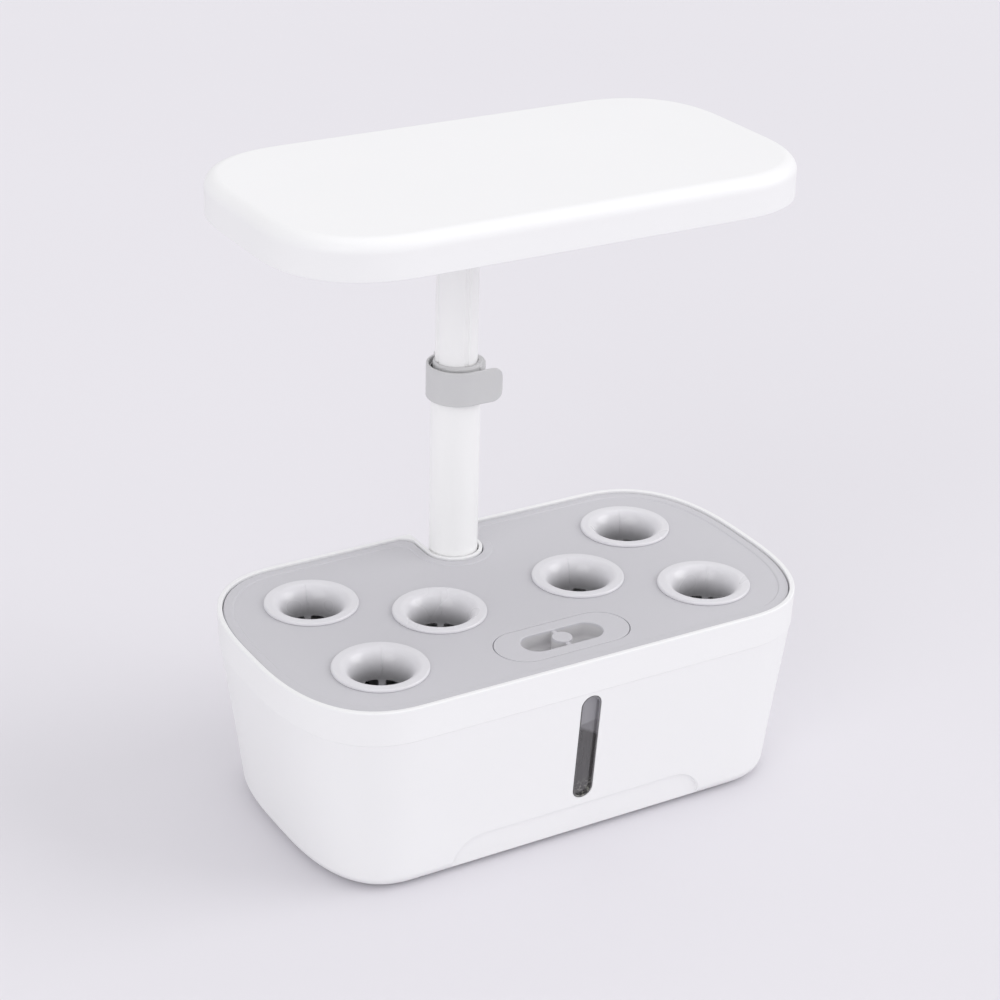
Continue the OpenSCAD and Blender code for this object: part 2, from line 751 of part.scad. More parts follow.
module clamp_lever() color(grey) at_mast() difference() {
    union() {
        translate([0, 0, lever_z]) linear_extrude(lever_h) band_plan(lever_angle);
        translate([0, 0, lever_z + lever_h / 2]) along_y(lever_front, lever_front + lever_t) difference() {
            translate([tab_l - 20, 0]) round_rect(40, lever_h, tab_round);
            translate([lever_mid.x - seat - 40, -lever_h]) square([40, 2 * lever_h]);
        }
        translate([0, 0, clamp_z + lug_t + play]) linear_extrude(clamp_h - 2 * (lug_t + play)) {
            translate(pin_pos) circle(knuckle_r);
            band_plan(pin_angle);
        }
    }
    translate([pin_pos.x, pin_pos.y, clamp_z]) cylinder(h = clamp_h, r = pin_d / 2 + fit);
}

// Pump, standing on the floor of the tub on suction cups; its axle runs front to back.

cup_at = [for (sx = [-1, 1], sy = [-1, 1])
    pump_at + [sx * (pump_w / 2 - cup_r), sy * (pump_d / 2 - cup_r)]];
pump_front = pump_at.y - pump_d / 2;

module at_axle(y) {
    translate([pump_at.x, y, axle_z]) rotate([-90, 0, 0]) children();
}

module pump_housing() color(black) difference() {
    union() {
        translate([pump_at.x, 0, pump_z + pump_h / 2]) along_y(pump_front, pump_front + pump_d)
            round_rect(pump_w, pump_h, 4);
        translate([pump_at.x - pump_w / 2 + 8, pump_front + 5, pump_z + pump_h - past])
            cylinder(h = 9, r = 4);
    }
    translate([pump_at.x - pump_w / 2 + 8, pump_front + 5, axle_z]) cylinder(h = pump_h, r = 2.6);
    at_axle(pump_front - past) cylinder(h = past + chamber_l, r = chamber_r);
    at_axle(pump_front) cylinder(h = chamber_l + rotor_l + 1, r = rotor_r + 0.6);
    at_axle(pump_front) cylinder(h = pump_d - 1.6, r = shaft_r);
}

module pump_intake() color(black) difference() {
    translate([pump_at.x, 0, pump_z + pump_h / 2]) along_y(pump_front - intake_t - seat, pump_front - seat)
        round_rect(pump_w, pump_h, 4);
    for (k = [-3:3]) translate([pump_at.x + k * 3.4, pump_front - intake_t / 2, axle_z])
        cube([1.8, intake_t + past, 12], center = true);
}

module pump_shaft() color(steel) at_axle(pump_front + seat)
    cylinder(h = pump_d - 1.6 - 2 * seat, r = shaft_r - seat);

module pump_impeller() color(steel) at_axle(pump_front + 0.8) difference() {
    union() {
        for (a = [0:60:359]) rotate(a) translate([0, -0.6, 0]) cube([vane_r, 1.2, vane_l]);
        cylinder(h = vane_l + rotor_l - 1, r = rotor_r - 1.6);
        translate([0, 0, vane_l]) cylinder(h = rotor_l - 1, r = rotor_r);
        translate([0, 0, vane_l - 1]) cylinder(h = 1.2, r = vane_r);
    }
    translate([0, 0, -past]) cylinder(h = pump_d, r = shaft_r + fit);
}

module suction_cups() color([0.25, 0.25, 0.27]) for (p = cup_at) translate([p.x, p.y, floor_z + seat])
    rotate_extrude() polygon([[0, 1.4], [cup_r - 1.5, 0], [cup_r, 0], [cup_r - 1, 1.4], [2, 2.4],
        [2, cup_h - 2 * seat], [0, cup_h - 2 * seat]]);

// Pump lead, from the top of the pump through the grommet to the power board

lead_from = pump_at + [pump_w / 2 - 9, pump_d / 2 - 9];
lead_drop = pump_z + pump_h;
grommet_x = -bay_w / 2 - bay_t / 2;
lead_path = [[lead_from.x, lead_from.y, lead_drop + seat], [lead_from.x, lead_from.y, lead_drop + 8],
    [lead_from.x, lead_from.y, grommet_z - 10], [lead_from.x + 1, lead_from.y, grommet_z - 6],
    [lead_from.x + 3, lead_from.y + 0.4, grommet_z - 3],
    [lead_from.x + 6, power_board_y - 0.6, grommet_z - 0.8],
    [grommet_x - 5, power_board_y, grommet_z], [grommet_x, power_board_y, grommet_z],
    [grommet_x + 5, power_board_y, grommet_z]];
lead_sides = 8;

// Closed tube of a few sides swept along a path.
module sweep(path, r) {
    last = len(path) - 1;
    rings = [for (i = [0:last])
        let (t = path[min(i + 1, last)] - path[max(i - 1, 0)], u = t / norm(t), side = [0, 1, 0],
            across = cross(u, side) / norm(cross(u, side)), over = cross(across, u))
        [for (k = [0:lead_sides - 1]) let (a = 360 * k / lead_sides)
            path[i] + r * (cos(a) * across + sin(a) * over)]];
    skin(rings);
}

module pump_lead() color(black) sweep(lead_path, lead_d / 2);

module lead_grommet() color(black) translate([grommet_x, power_board_y, grommet_z])
    rotate([0, 90, 0]) difference() {
    union() {
        cylinder(h = bay_t + 2.4, d = lead_d + 3 - 2 * seat, center = true);
        for (s = [-1, 1]) translate([0, 0, s * (bay_t / 2 + seat + 0.6)])
            cylinder(h = 1.2, d = lead_d + 6, center = true);
    }
    cylinder(h = bay_t + 4, d = lead_d + 2 * seat, center = true);
}

// Grow deck

module grow_deck() color(grey) difference() {
    union() {
        plate(tank_plan(deck_in, deck_in), ledge_z + seat, border_z);
        difference() {
            plate(tank_plan(skirt_in, skirt_in), ledge_z - skirt_h, field_z - 1);
            plate(tank_plan(skirt_in + skirt_t, skirt_in + skirt_t), ledge_z - skirt_h - past, field_z);
        }
        for (p = basket_at) translate([p.x, p.y, ledge_z - skirt_h])
            cylinder(h = skirt_h + 1, r = hole_r + skirt_t);
        translate([0, -cap_y, ledge_z - skirt_h]) linear_extrude(skirt_h + 1)
            stadium(cap_w - 2 * cap_lap + 2 * skirt_t, cap_d - 2 * cap_lap + 2 * skirt_t);
    }
    translate([0, 0, field_z]) linear_extrude(deck_t) difference() {
        polygon(tank_plan(deck_in + border_w, deck_in + border_w));
        collar_plan(notch_r + border_w, tank_d / 2 - deck_in - border_w, notch_round);
    }
    translate([0, 0, ledge_z - skirt_h - past]) linear_extrude(rim_z)
        collar_plan(notch_r, tank_d / 2 - deck_in, notch_round);
    for (p = basket_at) translate([p.x, p.y, ledge_z - skirt_h - past]) cylinder(h = rim_z, r = hole_r);
    translate([0, -cap_y, field_z - cap_t - seat]) linear_extrude(rim_z)
        stadium(cap_w + 2 * cap_gap, cap_d + 2 * cap_gap);
    translate([0, -cap_y, ledge_z - skirt_h - past]) linear_extrude(rim_z)
        stadium(cap_w - 2 * cap_lap, cap_d - 2 * cap_lap);
}

// Fill cap: a plate with a finger recess, crossed by a web that carries a boss.

module fill_cap() color(pale) translate([0, -cap_y, 0]) {
    difference() {
        union() {
            translate([0, 0, field_z - cap_t]) linear_extrude(cap_t) stadium(cap_w, cap_d);
            translate([0, 0, field_z - grip_h - grip_t]) linear_extrude(grip_h + 1)
                stadium(grip_w + 2 * grip_t, grip_d + 2 * grip_t);
        }
        translate([0, 0, field_z - grip_h]) linear_extrude(grip_h + past) stadium(grip_w, grip_d);
    }
    translate([-web_t / 2, -grip_d / 2 - 0.5, field_z - grip_h - 0.5])
        cube([web_t, grip_d + 1, grip_h - 0.3]);
    translate([0, 0, field_z - grip_h - 0.5]) cylinder(h = grip_h + 0.5, d = boss_d);
}

// Net basket: flange, bell mouth, throat, and a slotted cage.

bell_seg = 6;
bell_r = flange_d / 2 - 3.4;
bell_h = 11;
cage_r = throat_d / 2 - 2;
grip_t = 1.6;
slot_top = -bell_h - 2.5;
slot_w = 7.2;

function bell(off) = [for (k = [0:bell_seg]) let (a = 90 * k / bell_seg)
    [throat_d / 2 + (bell_r - throat_d / 2) * (1 - sin(a)) + off * sin(a),
        flange_t - (bell_h + flange_t) * (1 - cos(a)) - off * cos(a)]];

module basket(p) color(pale) translate([p.x, p.y, field_z + seat]) difference() {
    union() {
        rotate_extrude() difference() {
            polygon(concat(
                [[flange_d / 2, 0], [flange_d / 2, flange_t - 0.8], [flange_d / 2 - 0.8, flange_t]],
                bell(0), [[cage_r, -basket_h], [cage_r + basket_t, -basket_h]],
                [for (k = [bell_seg:-1:1]) bell(basket_t)[k]], [[neck_r - basket_t, 0]]));
            translate([0, -basket_h - past]) square([throat_d / 4, basket_h]);
        }
        translate([0, 0, -skirt_h]) difference() {
            cylinder(h = skirt_h, r = neck_r);
            translate([0, 0, -past]) cylinder(h = skirt_h + 2 * past, r = neck_r - basket_t);
        }
        translate([0, 0, -basket_h]) cylinder(h = basket_t, r = cage_r + 0.5);
    }
    for (a = [22.5:45:359]) rotate(a) translate([throat_d / 4, -slot_w / 2, -basket_h + 4])
        cube([throat_d / 2, slot_w, slot_top + basket_h - 4]);
    for (a = [0:45:359]) rotate(a) translate([cage_r - 4, 0, -basket_h - past])
        cylinder(h = 3 * past + basket_t, r = 1.8);
    translate([0, 0, -basket_h - past]) cylinder(h = 3 * past + basket_t, r = 3);
}

module basket_1() basket(basket_at[0]);
module basket_2() basket(basket_at[1]);
module basket_3() basket(basket_at[2]);
module basket_4() basket(basket_at[3]);
module basket_5() basket(basket_at[4]);
module basket_6() basket(basket_at[5]);

// Mast, sliding part

module upper_tube() color(white) at_mast() difference() {
    translate([0, 0, mast_z]) cylinder(h = mast_top - mast_z, r = mast_d / 2);
    translate([0, 0, mast_z - past]) cylinder(h = mast_top, r = mast_in);
    for (a = [0:90:359]) rotate(a) translate([mast_d / 2 - groove_h, -groove_w / 2, mast_z - past])
        cube([2, groove_w, mast_top]);
    translate([0, 0, lamp_z + 8]) rotate([-90, 0, 0]) cylinder(h = mast_d, r = screw_r + play / 2);
}

glide_foot = 3;
glide_h = 13;

module tube_glide() color(grey) at_mast() translate([0, 0, mast_z - glide_foot - seat]) difference() {
    union() {
        cylinder(h = glide_foot, r = tube_in - 0.08);
        cylinder(h = glide_h, r = mast_in - seat);
    }
    translate([0, 0, -past]) cylinder(h = glide_h + 2 * past, r = mast_in - 1.6);
}

module mast_lead() color(black) at_mast()
    clamp_slice(tube_z + seat, mast_top, lead_r - 1.8, lead_r);

// Lamp head

function lamp_plan(inset) =
    outline(lamp_w - 2 * inset, lamp_d - 2 * inset, lamp_corner - inset, lamp_corner - inset, lamp_n);

function lamp_ring(z, inset) = level(lamp_plan(inset), z);

function lamp_shell() =
    let (in_r = lamp_r - lamp_t)
    concat(
        [for (k = [0:edge_seg]) let (a = 90 * k / edge_seg)
            lamp_ring(lamp_roof - in_r * (1 - cos(a)), lamp_t + in_r * (1 - sin(a)))],
        [lamp_ring(lamp_z + 0.3, lamp_t), lamp_ring(lamp_z, lamp_t - 0.3), lamp_ring(lamp_z, 0.4),
            lamp_ring(lamp_z + 0.4, 0)],
        [for (k = [0:edge_seg]) let (a = 90 * k / edge_seg)
            lamp_ring(lamp_z + lamp_h - lamp_r * (1 - sin(a)), lamp_r * (1 - cos(a)))]);

module four(half) {
    for (sx = [-1, 1], sy = [-1, 1]) translate([sx * half.x, sy * half.y, 0]) children();
}

module lamp_boss(z0, z1, r) {
    translate([0, 0, z0]) difference() {
        cylinder(h = z1 - z0 + past / 2, r = r);
        translate([0, 0, -past]) cylinder(h = z1 - z0 + past - 0.4, r = screw_r);
    }
}

module lamp_cover() color(white) {
    translate([0, lamp_y, 0]) skin(lamp_shell());
    translate([0, lamp_y, 0]) for (p = lamp_post) translate([p.x, p.y, 0])
        lamp_boss(lamp_floor + lamp_plate + seat, lamp_roof, 3.6);
    translate([0, light_y, 0]) four(led_post) lamp_boss(board_z + board_t + seat, lamp_roof, 3);
    at_mast() four(bracket_post) lamp_boss(bracket_z + bracket_t + seat, lamp_roof, 3);
    for (s = [-1, 1]) translate([control_at.x + s * control_post, control_at.y, 0])
        lamp_boss(board_z + board_t + seat, lamp_roof, 3);
}

module lamp_plate(inset, z0, z1) {
    plate(lamp_plan(inset), z0, z1);
}

module lamp_base() color(white) difference() {
    translate([0, lamp_y, 0]) {
        lamp_plate(lamp_t + lamp_gap, lamp_floor, lamp_floor + lamp_plate);
        difference() {
            lamp_plate(lamp_t + lamp_gap, lamp_floor, lamp_floor + lamp_lip);
            lamp_plate(lamp_t + lamp_gap + 1.7, lamp_floor - past, lamp_floor + lamp_lip + past);
        }
    }
    translate([0, light_y, lamp_floor - past]) linear_extrude(2 * lamp_plate)
        round_rect(light_w, light_d, light_corner);
    translate([0, light_y, lamp_floor + 1]) linear_extrude(2 * lamp_plate)
        round_rect(light_w + 2 * light_ledge, light_d + 2 * light_ledge, light_corner + light_ledge);
    at_mast() translate([0, 0, lamp_floor - past]) cylinder(h = 2 * lamp_plate, r = mast_d / 2 + play);
    for (x = button_x) translate([x, button_y, lamp_floor - past])
        cylinder(h = 2 * lamp_plate, r = button_r + play);
    translate([0, lamp_y, 0]) for (p = lamp_post) translate([p.x, p.y, lamp_floor - past]) {
        cylinder(h = past + head_h, r = head_r + play);
        cylinder(h = 3 * lamp_plate, r = screw_r + play / 2);
    }
}

module diffuser() color([0.93, 0.93, 0.9]) translate([0, light_y, lamp_floor + 1 + seat]) linear_extrude(2)
    round_rect(light_w + 2 * light_ledge - 2 * play, light_d + 2 * light_ledge - 2 * play,
        light_corner + light_ledge - play);

module led_board() color(white) translate([0, light_y, board_z]) difference() {
    linear_extrude(board_t) round_rect(light_w - 8, light_d - 6, 6);
    four(led_post) translate([0, 0, -past]) cylinder(h = board_t + 2 * past, r = screw_r + play / 2);
}

// Light sources of one kind: every third along a diagonal is red.
module leds(red) {
    for (i = [0:led_nx - 1], j = [0:led_ny - 1]) if (((i + j) % 3 == 0) == red)
        translate([(i - (led_nx - 1) / 2) * led_px, light_y + (j - (led_ny - 1) / 2) * led_py, 0])
            translate([-led_s / 2, -led_s / 2, board_z - led_h - seat]) cube([led_s, led_s, led_h]);
}

module led_white() color([1, 0.95, 0.75]) leds(false);
module led_red() color([0.8, 0.2, 0.2]) leds(true);

module lamp_board_screws() color(steel) {
    translate([0, light_y, board_z - seat]) four(led_post) screw(5);
    for (s = [-1, 1]) translate([control_at.x + s * control_post, control_at.y, board_z - seat]) screw(5);
}

module lamp_screws() color(steel) for (p = lamp_post)
    translate([p.x, lamp_y + p.y, lamp_floor + head_h - seat]) screw(10);

module mast_bracket() color(grey) at_mast() difference() {
    union() {
        translate([0, 0, lamp_floor + lamp_plate + seat])
            cylinder(h = bracket_z + bracket_t - lamp_floor - lamp_plate - seat, r = bracket_r);
        translate([0, 0, bracket_z]) linear_extrude(bracket_t)
            round_rect(2 * bracket_x, bracket_depth, bracket_in);
    }
    translate([0, 0, lamp_floor]) cylinder(h = mast_top - lamp_floor + seat, r = mast_d / 2 + seat);
    cylinder(h = 2 * lamp_z, r = lead_r - 2);
    translate([0, 0, bracket_z - past]) four(bracket_post)
        cylinder(h = bracket_t + 2 * past, r = screw_r + play / 2);
    translate([0, 0, lamp_z + 8]) rotate([-90, 0, 0]) cylinder(h = mast_d, r = screw_r + play / 2);
}

module bracket_screws() color(steel) at_mast() translate([0, 0, bracket_z - seat])
    four(bracket_post) screw(5.4);

module mast_screw() color(steel) translate([0, mast_y + bracket_r + seat, lamp_z + 8]) rotate([90, 0, 0])
    screw(bracket_r - mast_in + 0.4);

module control_board() color(board_green) translate([control_at.x, control_at.y, board_z]) difference() {
    linear_extrude(board_t) square([control_l, control_w], center = true);
    for (s = [-1, 1]) translate([s * control_post, 0, -past])
        cylinder(h = board_t + 2 * past, r = screw_r + play / 2);
}

module push_switches() color(black) for (x = button_x)
    translate([x, button_y, board_z - switch_h - seat]) difference() {
        translate([-switch_l / 2, -switch_l / 2, 0]) cube([switch_l, switch_l, switch_h]);
        translate([0, 0, -past]) cylinder(h = past + stem_in + button_travel + play, r = 1.8);
    }

// Push button: a cap under the lamp, a shoulder that holds it in, and a stem into its switch.
module button(x) color(grey) translate([x, button_y, 0]) {
    shoulder_z = lamp_floor + lamp_plate + seat;
    translate([0, 0, lamp_floor - button_travel - 0.2])
        cylinder(h = lamp_plate + button_travel + 0.4, r = button_r);
    translate([0, 0, shoulder_z]) cylinder(h = 0.9, r = button_r + 1);
    translate([0, 0, shoulder_z]) cylinder(h = board_z - switch_h + stem_in - shoulder_z, r = 1.5);
}

module light_button() button(button_x[0]);
module pump_button() button(button_x[1]);

in_frame() tank();
in_frame() feet();
in_frame() level_window();
in_frame() window_gasket();
in_frame() rear_cover();
in_frame() cover_screws();
in_frame() power_inlet();
in_frame() power_board();
in_frame() board_screws();
in_frame() mast_socket();
in_frame() socket_screws();
in_frame() lower_tube();
in_frame() tube_screw();
in_frame() clamp_collar();
in_frame() clamp_liner();
in_frame() clamp_pin();
in_frame() clamp_lever();
in_frame() pump_housing();
in_frame() pump_intake();
in_frame() pump_shaft();
in_frame() pump_impeller();
in_frame() suction_cups();
in_frame() pump_lead();
in_frame() lead_grommet();
in_frame() grow_deck();
in_frame() fill_cap();
in_frame() basket_1();
in_frame() basket_2();
in_frame() basket_3();
in_frame() basket_4();
in_frame() basket_5();
in_frame() basket_6();
in_frame() upper_tube();
in_frame() tube_glide();
in_frame() mast_lead();
in_frame() lamp_cover();
in_frame() lamp_base();
in_frame() diffuser();
in_frame() led_board();
in_frame() led_white();
in_frame() led_red();
in_frame() lamp_board_screws();
in_frame() lamp_screws();
in_frame() mast_bracket();
in_frame() bracket_screws();
in_frame() mast_screw();
in_frame() control_board();
in_frame() push_switches();
in_frame() light_button();
in_frame() pump_button();
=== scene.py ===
# %% [markdown]
# # A countertop hydroponic garden
# A white water tank carries a grey grow deck with six net baskets and a fill cap. A
# telescopic mast stands in a notch at the rear and holds a slim grow lamp above the plants.
# The exact solids come from the CAD model. This lesson dresses them: it rebuilds the
# surfaces that the eye meets with soft moulded edges, gives every part a finish, and
# lights the result like a product on a table.

# %% Load the frame and keep its box
import math

import bmesh
import bpy
from mathutils import Matrix, Vector


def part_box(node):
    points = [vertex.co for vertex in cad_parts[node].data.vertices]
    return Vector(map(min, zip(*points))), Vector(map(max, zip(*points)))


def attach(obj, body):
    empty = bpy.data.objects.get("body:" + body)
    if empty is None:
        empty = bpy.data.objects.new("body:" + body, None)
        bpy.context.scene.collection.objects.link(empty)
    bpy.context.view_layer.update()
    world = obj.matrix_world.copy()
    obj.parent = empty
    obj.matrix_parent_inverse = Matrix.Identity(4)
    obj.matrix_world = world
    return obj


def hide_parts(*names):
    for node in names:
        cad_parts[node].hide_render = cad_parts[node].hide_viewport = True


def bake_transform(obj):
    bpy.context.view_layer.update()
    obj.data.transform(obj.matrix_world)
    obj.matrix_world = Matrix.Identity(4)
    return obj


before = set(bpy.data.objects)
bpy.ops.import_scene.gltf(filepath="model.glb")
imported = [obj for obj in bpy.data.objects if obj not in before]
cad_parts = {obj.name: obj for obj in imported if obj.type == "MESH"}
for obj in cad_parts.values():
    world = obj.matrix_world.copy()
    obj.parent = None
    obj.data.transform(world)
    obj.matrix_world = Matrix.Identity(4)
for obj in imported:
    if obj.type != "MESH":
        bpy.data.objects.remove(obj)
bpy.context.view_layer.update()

# %% [markdown]
# ## Working units
# The CAD was drawn in millimetres about the middle of the tank, and the frame's origin lies
# under the middle of the overall box. It is easiest to keep drawing in the maker's own
# numbers and to convert once, where a mesh is made. The tank is symmetrical, so the middle
# of its box gives the shift.

# %% Millimetres about the middle of the tank
MM = 0.001
tank_low, tank_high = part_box("tank")
TANK_MIDDLE_Y = (tank_low.y + tank_high.y) / 2


def to_frame(point):
    """A point in millimetres about the tank's middle, as metres in the row frame."""
    return Vector((point[0] * MM, point[1] * MM + TANK_MIDDLE_Y, point[2] * MM))


print("the tank's middle is at y =", round(TANK_MIDDLE_Y / MM, 3), "mm")

# %% [markdown]
# ## Sizes that several pieces share
# These are the numbers that the moulds have to agree on: the tank's outline, the levels of
# the deck, and where the mast and the baskets stand.

# %% Shared sizes
TANK_W, TANK_D = 285.396, 159.596
CORNER_REACH, END_FLAT = 53.8, 6.0
SQUARENESS, BASE_SQUARENESS, LAMP_SQUARENESS = 2.57, 2.72, 2.43
BASE_Z, RIM_Z = 1.2, 103.2
FLOOR_Z = 4.0
LEDGE_Z, FIELD_Z, BORDER_Z = 99.1, 101.6, 102.1
BAND_H = 17.5
BAND_DRAFT, END_DRAFT, SIDE_DRAFT = 1.6, 8.6, 5.4
WALL, RIM_W, LEDGE_W, DECK_GAP = 2.4, 2.4, 5.0, 0.5
MAST_Y = 57.5
NOTCH_ROUND = 6.5
SEAT = 0.02  # the hair's breadth that keeps two pieces apart where they meet
BASKETS = [(-91.8, -36.4), (-91.8, 36.4), (-39.9, 0), (39.9, 0), (91.8, -36.4), (91.8, 36.4)]
CLAMP_Z, CLAMP_H = 187.8, 18.0
LAMP_Z, LAMP_H = 302.2, 19.0
LAMP_Y = 14.4
print("rim at", RIM_Z, "mm, deck at", FIELD_Z, "mm, lamp from", LAMP_Z, "to", LAMP_Z + LAMP_H, "mm")

# %% [markdown]
# ## Outlines
# The tank and the lamp have corners that are squarer than a circle: each is a quarter of a
# superellipse. Subdividing a box would only come close to that curve, so the outline is
# computed point by point and stays true at any height. The other outlines are arcs and
# straight runs. Every outline takes an inset, because a rounded edge is the same outline
# drawn a few times, a little smaller each time.

# %% Outlines in plan
CORNER_STEPS = 28


def bend(value, squareness):
    return math.copysign(abs(value) ** (2 / squareness), value)


def squircle(width, depth, reach_x, reach_y, squareness):
    """Rounded rectangle with superellipse corners, anticlockwise from the right-hand end."""
    points = []
    for side in range(4):
        cx = (1 if side in (0, 3) else -1) * (width / 2 - reach_x)
        cy = (1 if side < 2 else -1) * (depth / 2 - reach_y)
        for i in range(CORNER_STEPS + 1):
            a = math.radians(90 * (side + i / CORNER_STEPS))
            x = cx + reach_x * bend(math.cos(a), squareness)
            y = cy + reach_y * bend(math.sin(a), squareness)
            points.append((x, y))
    return points


def tank_plan(end, side, squareness=SQUARENESS):
    """Outline of the tank, set in by one amount at its ends and another at front and rear."""
    reach_y = (TANK_D - END_FLAT) / 2 - side
    return squircle(TANK_W - 2 * end, TANK_D - 2 * side, CORNER_REACH - end, reach_y, squareness)


def arc(centre, radius, start, end, steps):
    """Points along an arc, with its angles in degrees."""
    turns = [math.radians(start + (end - start) * i / steps) for i in range(steps + 1)]
    return [(centre[0] + radius * math.cos(a), centre[1] + radius * math.sin(a)) for a in turns]


def round_rect(width, depth, radius, steps=8):
    points = []
    for side in range(4):
        cx = (1 if side in (0, 3) else -1) * (width / 2 - radius)
        cy = (1 if side < 2 else -1) * (depth / 2 - radius)
        points += arc((cx, cy), radius, 90 * side, 90 * side + 90, steps)
    return points


def stadium(width, depth, steps=20):
    """A slot with round ends, lying along X."""
    half = (width - depth) / 2
    return arc((half, 0), depth / 2, -90, 90, steps) + arc((-half, 0), depth / 2, 90, 270, steps)


def circle(radius, steps, centre):
    return arc(centre, radius, 0, 360 * (steps - 1) / steps, steps - 1)


def round_mast(radius):
    """Half a circle round the front of the mast, from its right to its left."""
    return arc((0, MAST_Y), radius, 0, -180, 40)


def notched(inset, half, flare):
    """The tank's outline with a U notch round the mast in its rear edge, whose mouth flares open."""
    rear = TANK_D / 2 - inset
    detour = arc((half + flare, rear - flare), flare, 90, 180, 10)
    detour += round_mast(half)
    detour += arc((-half - flare, rear - flare), flare, 0, 90, 10)
    plain = tank_plan(inset, inset)
    first = CORNER_STEPS + 1
    return plain[:first] + detour + plain[first:]


print("points round the tank:", len(tank_plan(0, 0)))

# %% [markdown]
# ## From outlines to meshes
# A moulded part is mostly a stack of level outlines. One helper joins a stack of rings with
# quads and closes both ends, and a second one turns a profile round an axis. Both clean the
# normals, so the pieces can be cut with booleans afterwards. Sharp edges come from the angle
# between faces, and a weighted-normal modifier keeps the large flat faces looking flat next
# to their narrow rounded edges.

# %% Mesh helpers
def lift(outline, z):
    return [(x, y, z) for x, y in outline]


def make_piece(name, points, faces, matrix=None):
    """A mesh object from millimetre points, optionally placed by a matrix in millimetres."""
    if matrix is not None:
        points = [matrix @ Vector(p) for p in points]
    mesh = bpy.data.meshes.new(name)
    mesh.from_pydata([to_frame(p) for p in points], [], faces)
    shape = bmesh.new()
    shape.from_mesh(mesh)
    bmesh.ops.recalc_face_normals(shape, faces=shape.faces)
    shape.to_mesh(mesh)
    shape.free()
    piece = bpy.data.objects.new(name, mesh)
    bpy.context.scene.collection.objects.link(piece)
    return piece


def skin(name, rings, matrix=None, loop=False):
    """A closed surface through a stack of rings; with loop the last ring meets the first."""
    count = len(rings[0])
    points = [p for ring in rings for p in ring]
    pairs = [(k, k + 1) for k in range(len(rings) - 1)] + ([(len(rings) - 1, 0)] if loop else [])
    faces = [
        (a * count + i, a * count + (i + 1) % count, b * count + (i + 1) % count, b * count + i)
        for a, b in pairs
        for i in range(count)
    ]
    if not loop:
        faces.append(list(range(count))[::-1])
        faces.append([(len(rings) - 1) * count + i for i in range(count)])
    return make_piece(name, points, faces, matrix)


def prism(name, outline, low, high, matrix=None):
    """A straight body over an outline, from one height to another."""
    return skin(name, [lift(outline, low), lift(outline, high)], matrix)


def drill(radius, low, high, centre=(0, 0), steps=64, matrix=None):
    """A round tool that bores from one height to another."""
    return prism("tool", circle(radius, steps, centre), low, high, matrix)


def lathe(name, profile, steps, centre=(0, 0)):
    """A closed profile of (radius, height) turned round an upright axis."""
    points, faces, rows = [], [], []
    for radius, z in profile:
        if radius < 1e-6:
            rows.append([len(points)] * steps)
            points.append((centre[0], centre[1], z))
        else:
            rows.append([len(points) + i for i in range(steps)])
            points += [(x, y, z) for x, y in circle(radius, steps, centre)]
    for k, row in enumerate(rows):
        after = rows[(k + 1) % len(rows)]
        for i in range(steps):
            j = (i + 1) % steps
            corners = list(dict.fromkeys((row[i], row[j], after[j], after[i])))
            if len(corners) > 2:
                faces.append(corners)
    return make_piece(name, points, faces)


def finish_mesh(piece, angle=32):
    """Welds what the cuts left, shades smooth and keeps edges above an angle crisp."""
    shape = bmesh.new()
    shape.from_mesh(piece.data)
    bmesh.ops.remove_doubles(shape, verts=shape.verts, dist=0.000004)
    bmesh.ops.dissolve_degenerate(shape, edges=shape.edges, dist=0.000002)
    shape.to_mesh(piece.data)
    shape.free()
    piece.data.shade_smooth()
    piece.data.set_sharp_from_angle(angle=math.radians(angle))
    level = piece.modifiers.new("flat faces stay flat", "WEIGHTED_NORMAL")
    level.keep_sharp = True
    level.weight = 90
    return piece


def combine(piece, operation, others):
    """Cuts or joins other closed meshes, one after the other, and removes them."""
    for other in others:
        step = piece.modifiers.new("step", "BOOLEAN")
        step.operation = operation
        step.solver = "EXACT"
        step.object = other
    graph = bpy.context.evaluated_depsgraph_get()
    result = bpy.data.meshes.new_from_object(piece.evaluated_get(graph))
    piece.modifiers.clear()
    old, piece.data = piece.data, result
    result.name = piece.name
    bpy.data.meshes.remove(old)
    for other in others:
        bpy.data.meshes.remove(other.data)
    return piece


def cut(piece, *tools):
    return combine(piece, "DIFFERENCE", tools)


def join(piece, *others):
    return combine(piece, "UNION", others)


def report(piece):
    size = [round(v / MM, 1) for v in piece.dimensions]
    print(f"{piece.name}: {size} mm, {len(piece.data.polygons)} faces")


# %% [markdown]
# ## Rounded slabs and the tools that cut soft holes
# Injection moulded edges are never knife sharp. A slab gets a quarter round at its top and
# bottom. A hole gets the same quarter round where it meets the surface, and the simplest way
# to get it is to shape the cutting tool: its mouth flares out like a trumpet, so the cut
# leaves a rounded lip behind.

# %% Slabs and hole tools
def quarter(radius, steps=5):
    """(drop, inset) pairs of a quarter round, from the side wall up to the face."""
    turns = [math.radians(90 * k / steps) for k in range(steps + 1)]
    return [(radius * (1 - math.sin(a)), radius * (1 - math.cos(a))) for a in turns]


def slab(name, plan, low, high, round_low, round_high, matrix=None):
    """plan(inset) gives the outline; both faces get their own edge rounding."""
    rings = [lift(plan(i), low + d) for d, i in reversed(quarter(round_low))]
    rings += [lift(plan(i), high - d) for d, i in quarter(round_high)]
    return skin(name, rings, matrix)


def hole_tool(plan, low, surface, lip, matrix=None, spare=1.5):
    """A tool that cuts plan(0) from low up to a surface and rounds the edge by lip."""
    rings = [lift(plan(0), low)]
    rings += [lift(plan(-i), surface - d) for d, i in quarter(lip)]
    rings.append(lift(plan(-lip), surface + spare))
    return skin("tool", rings, matrix)


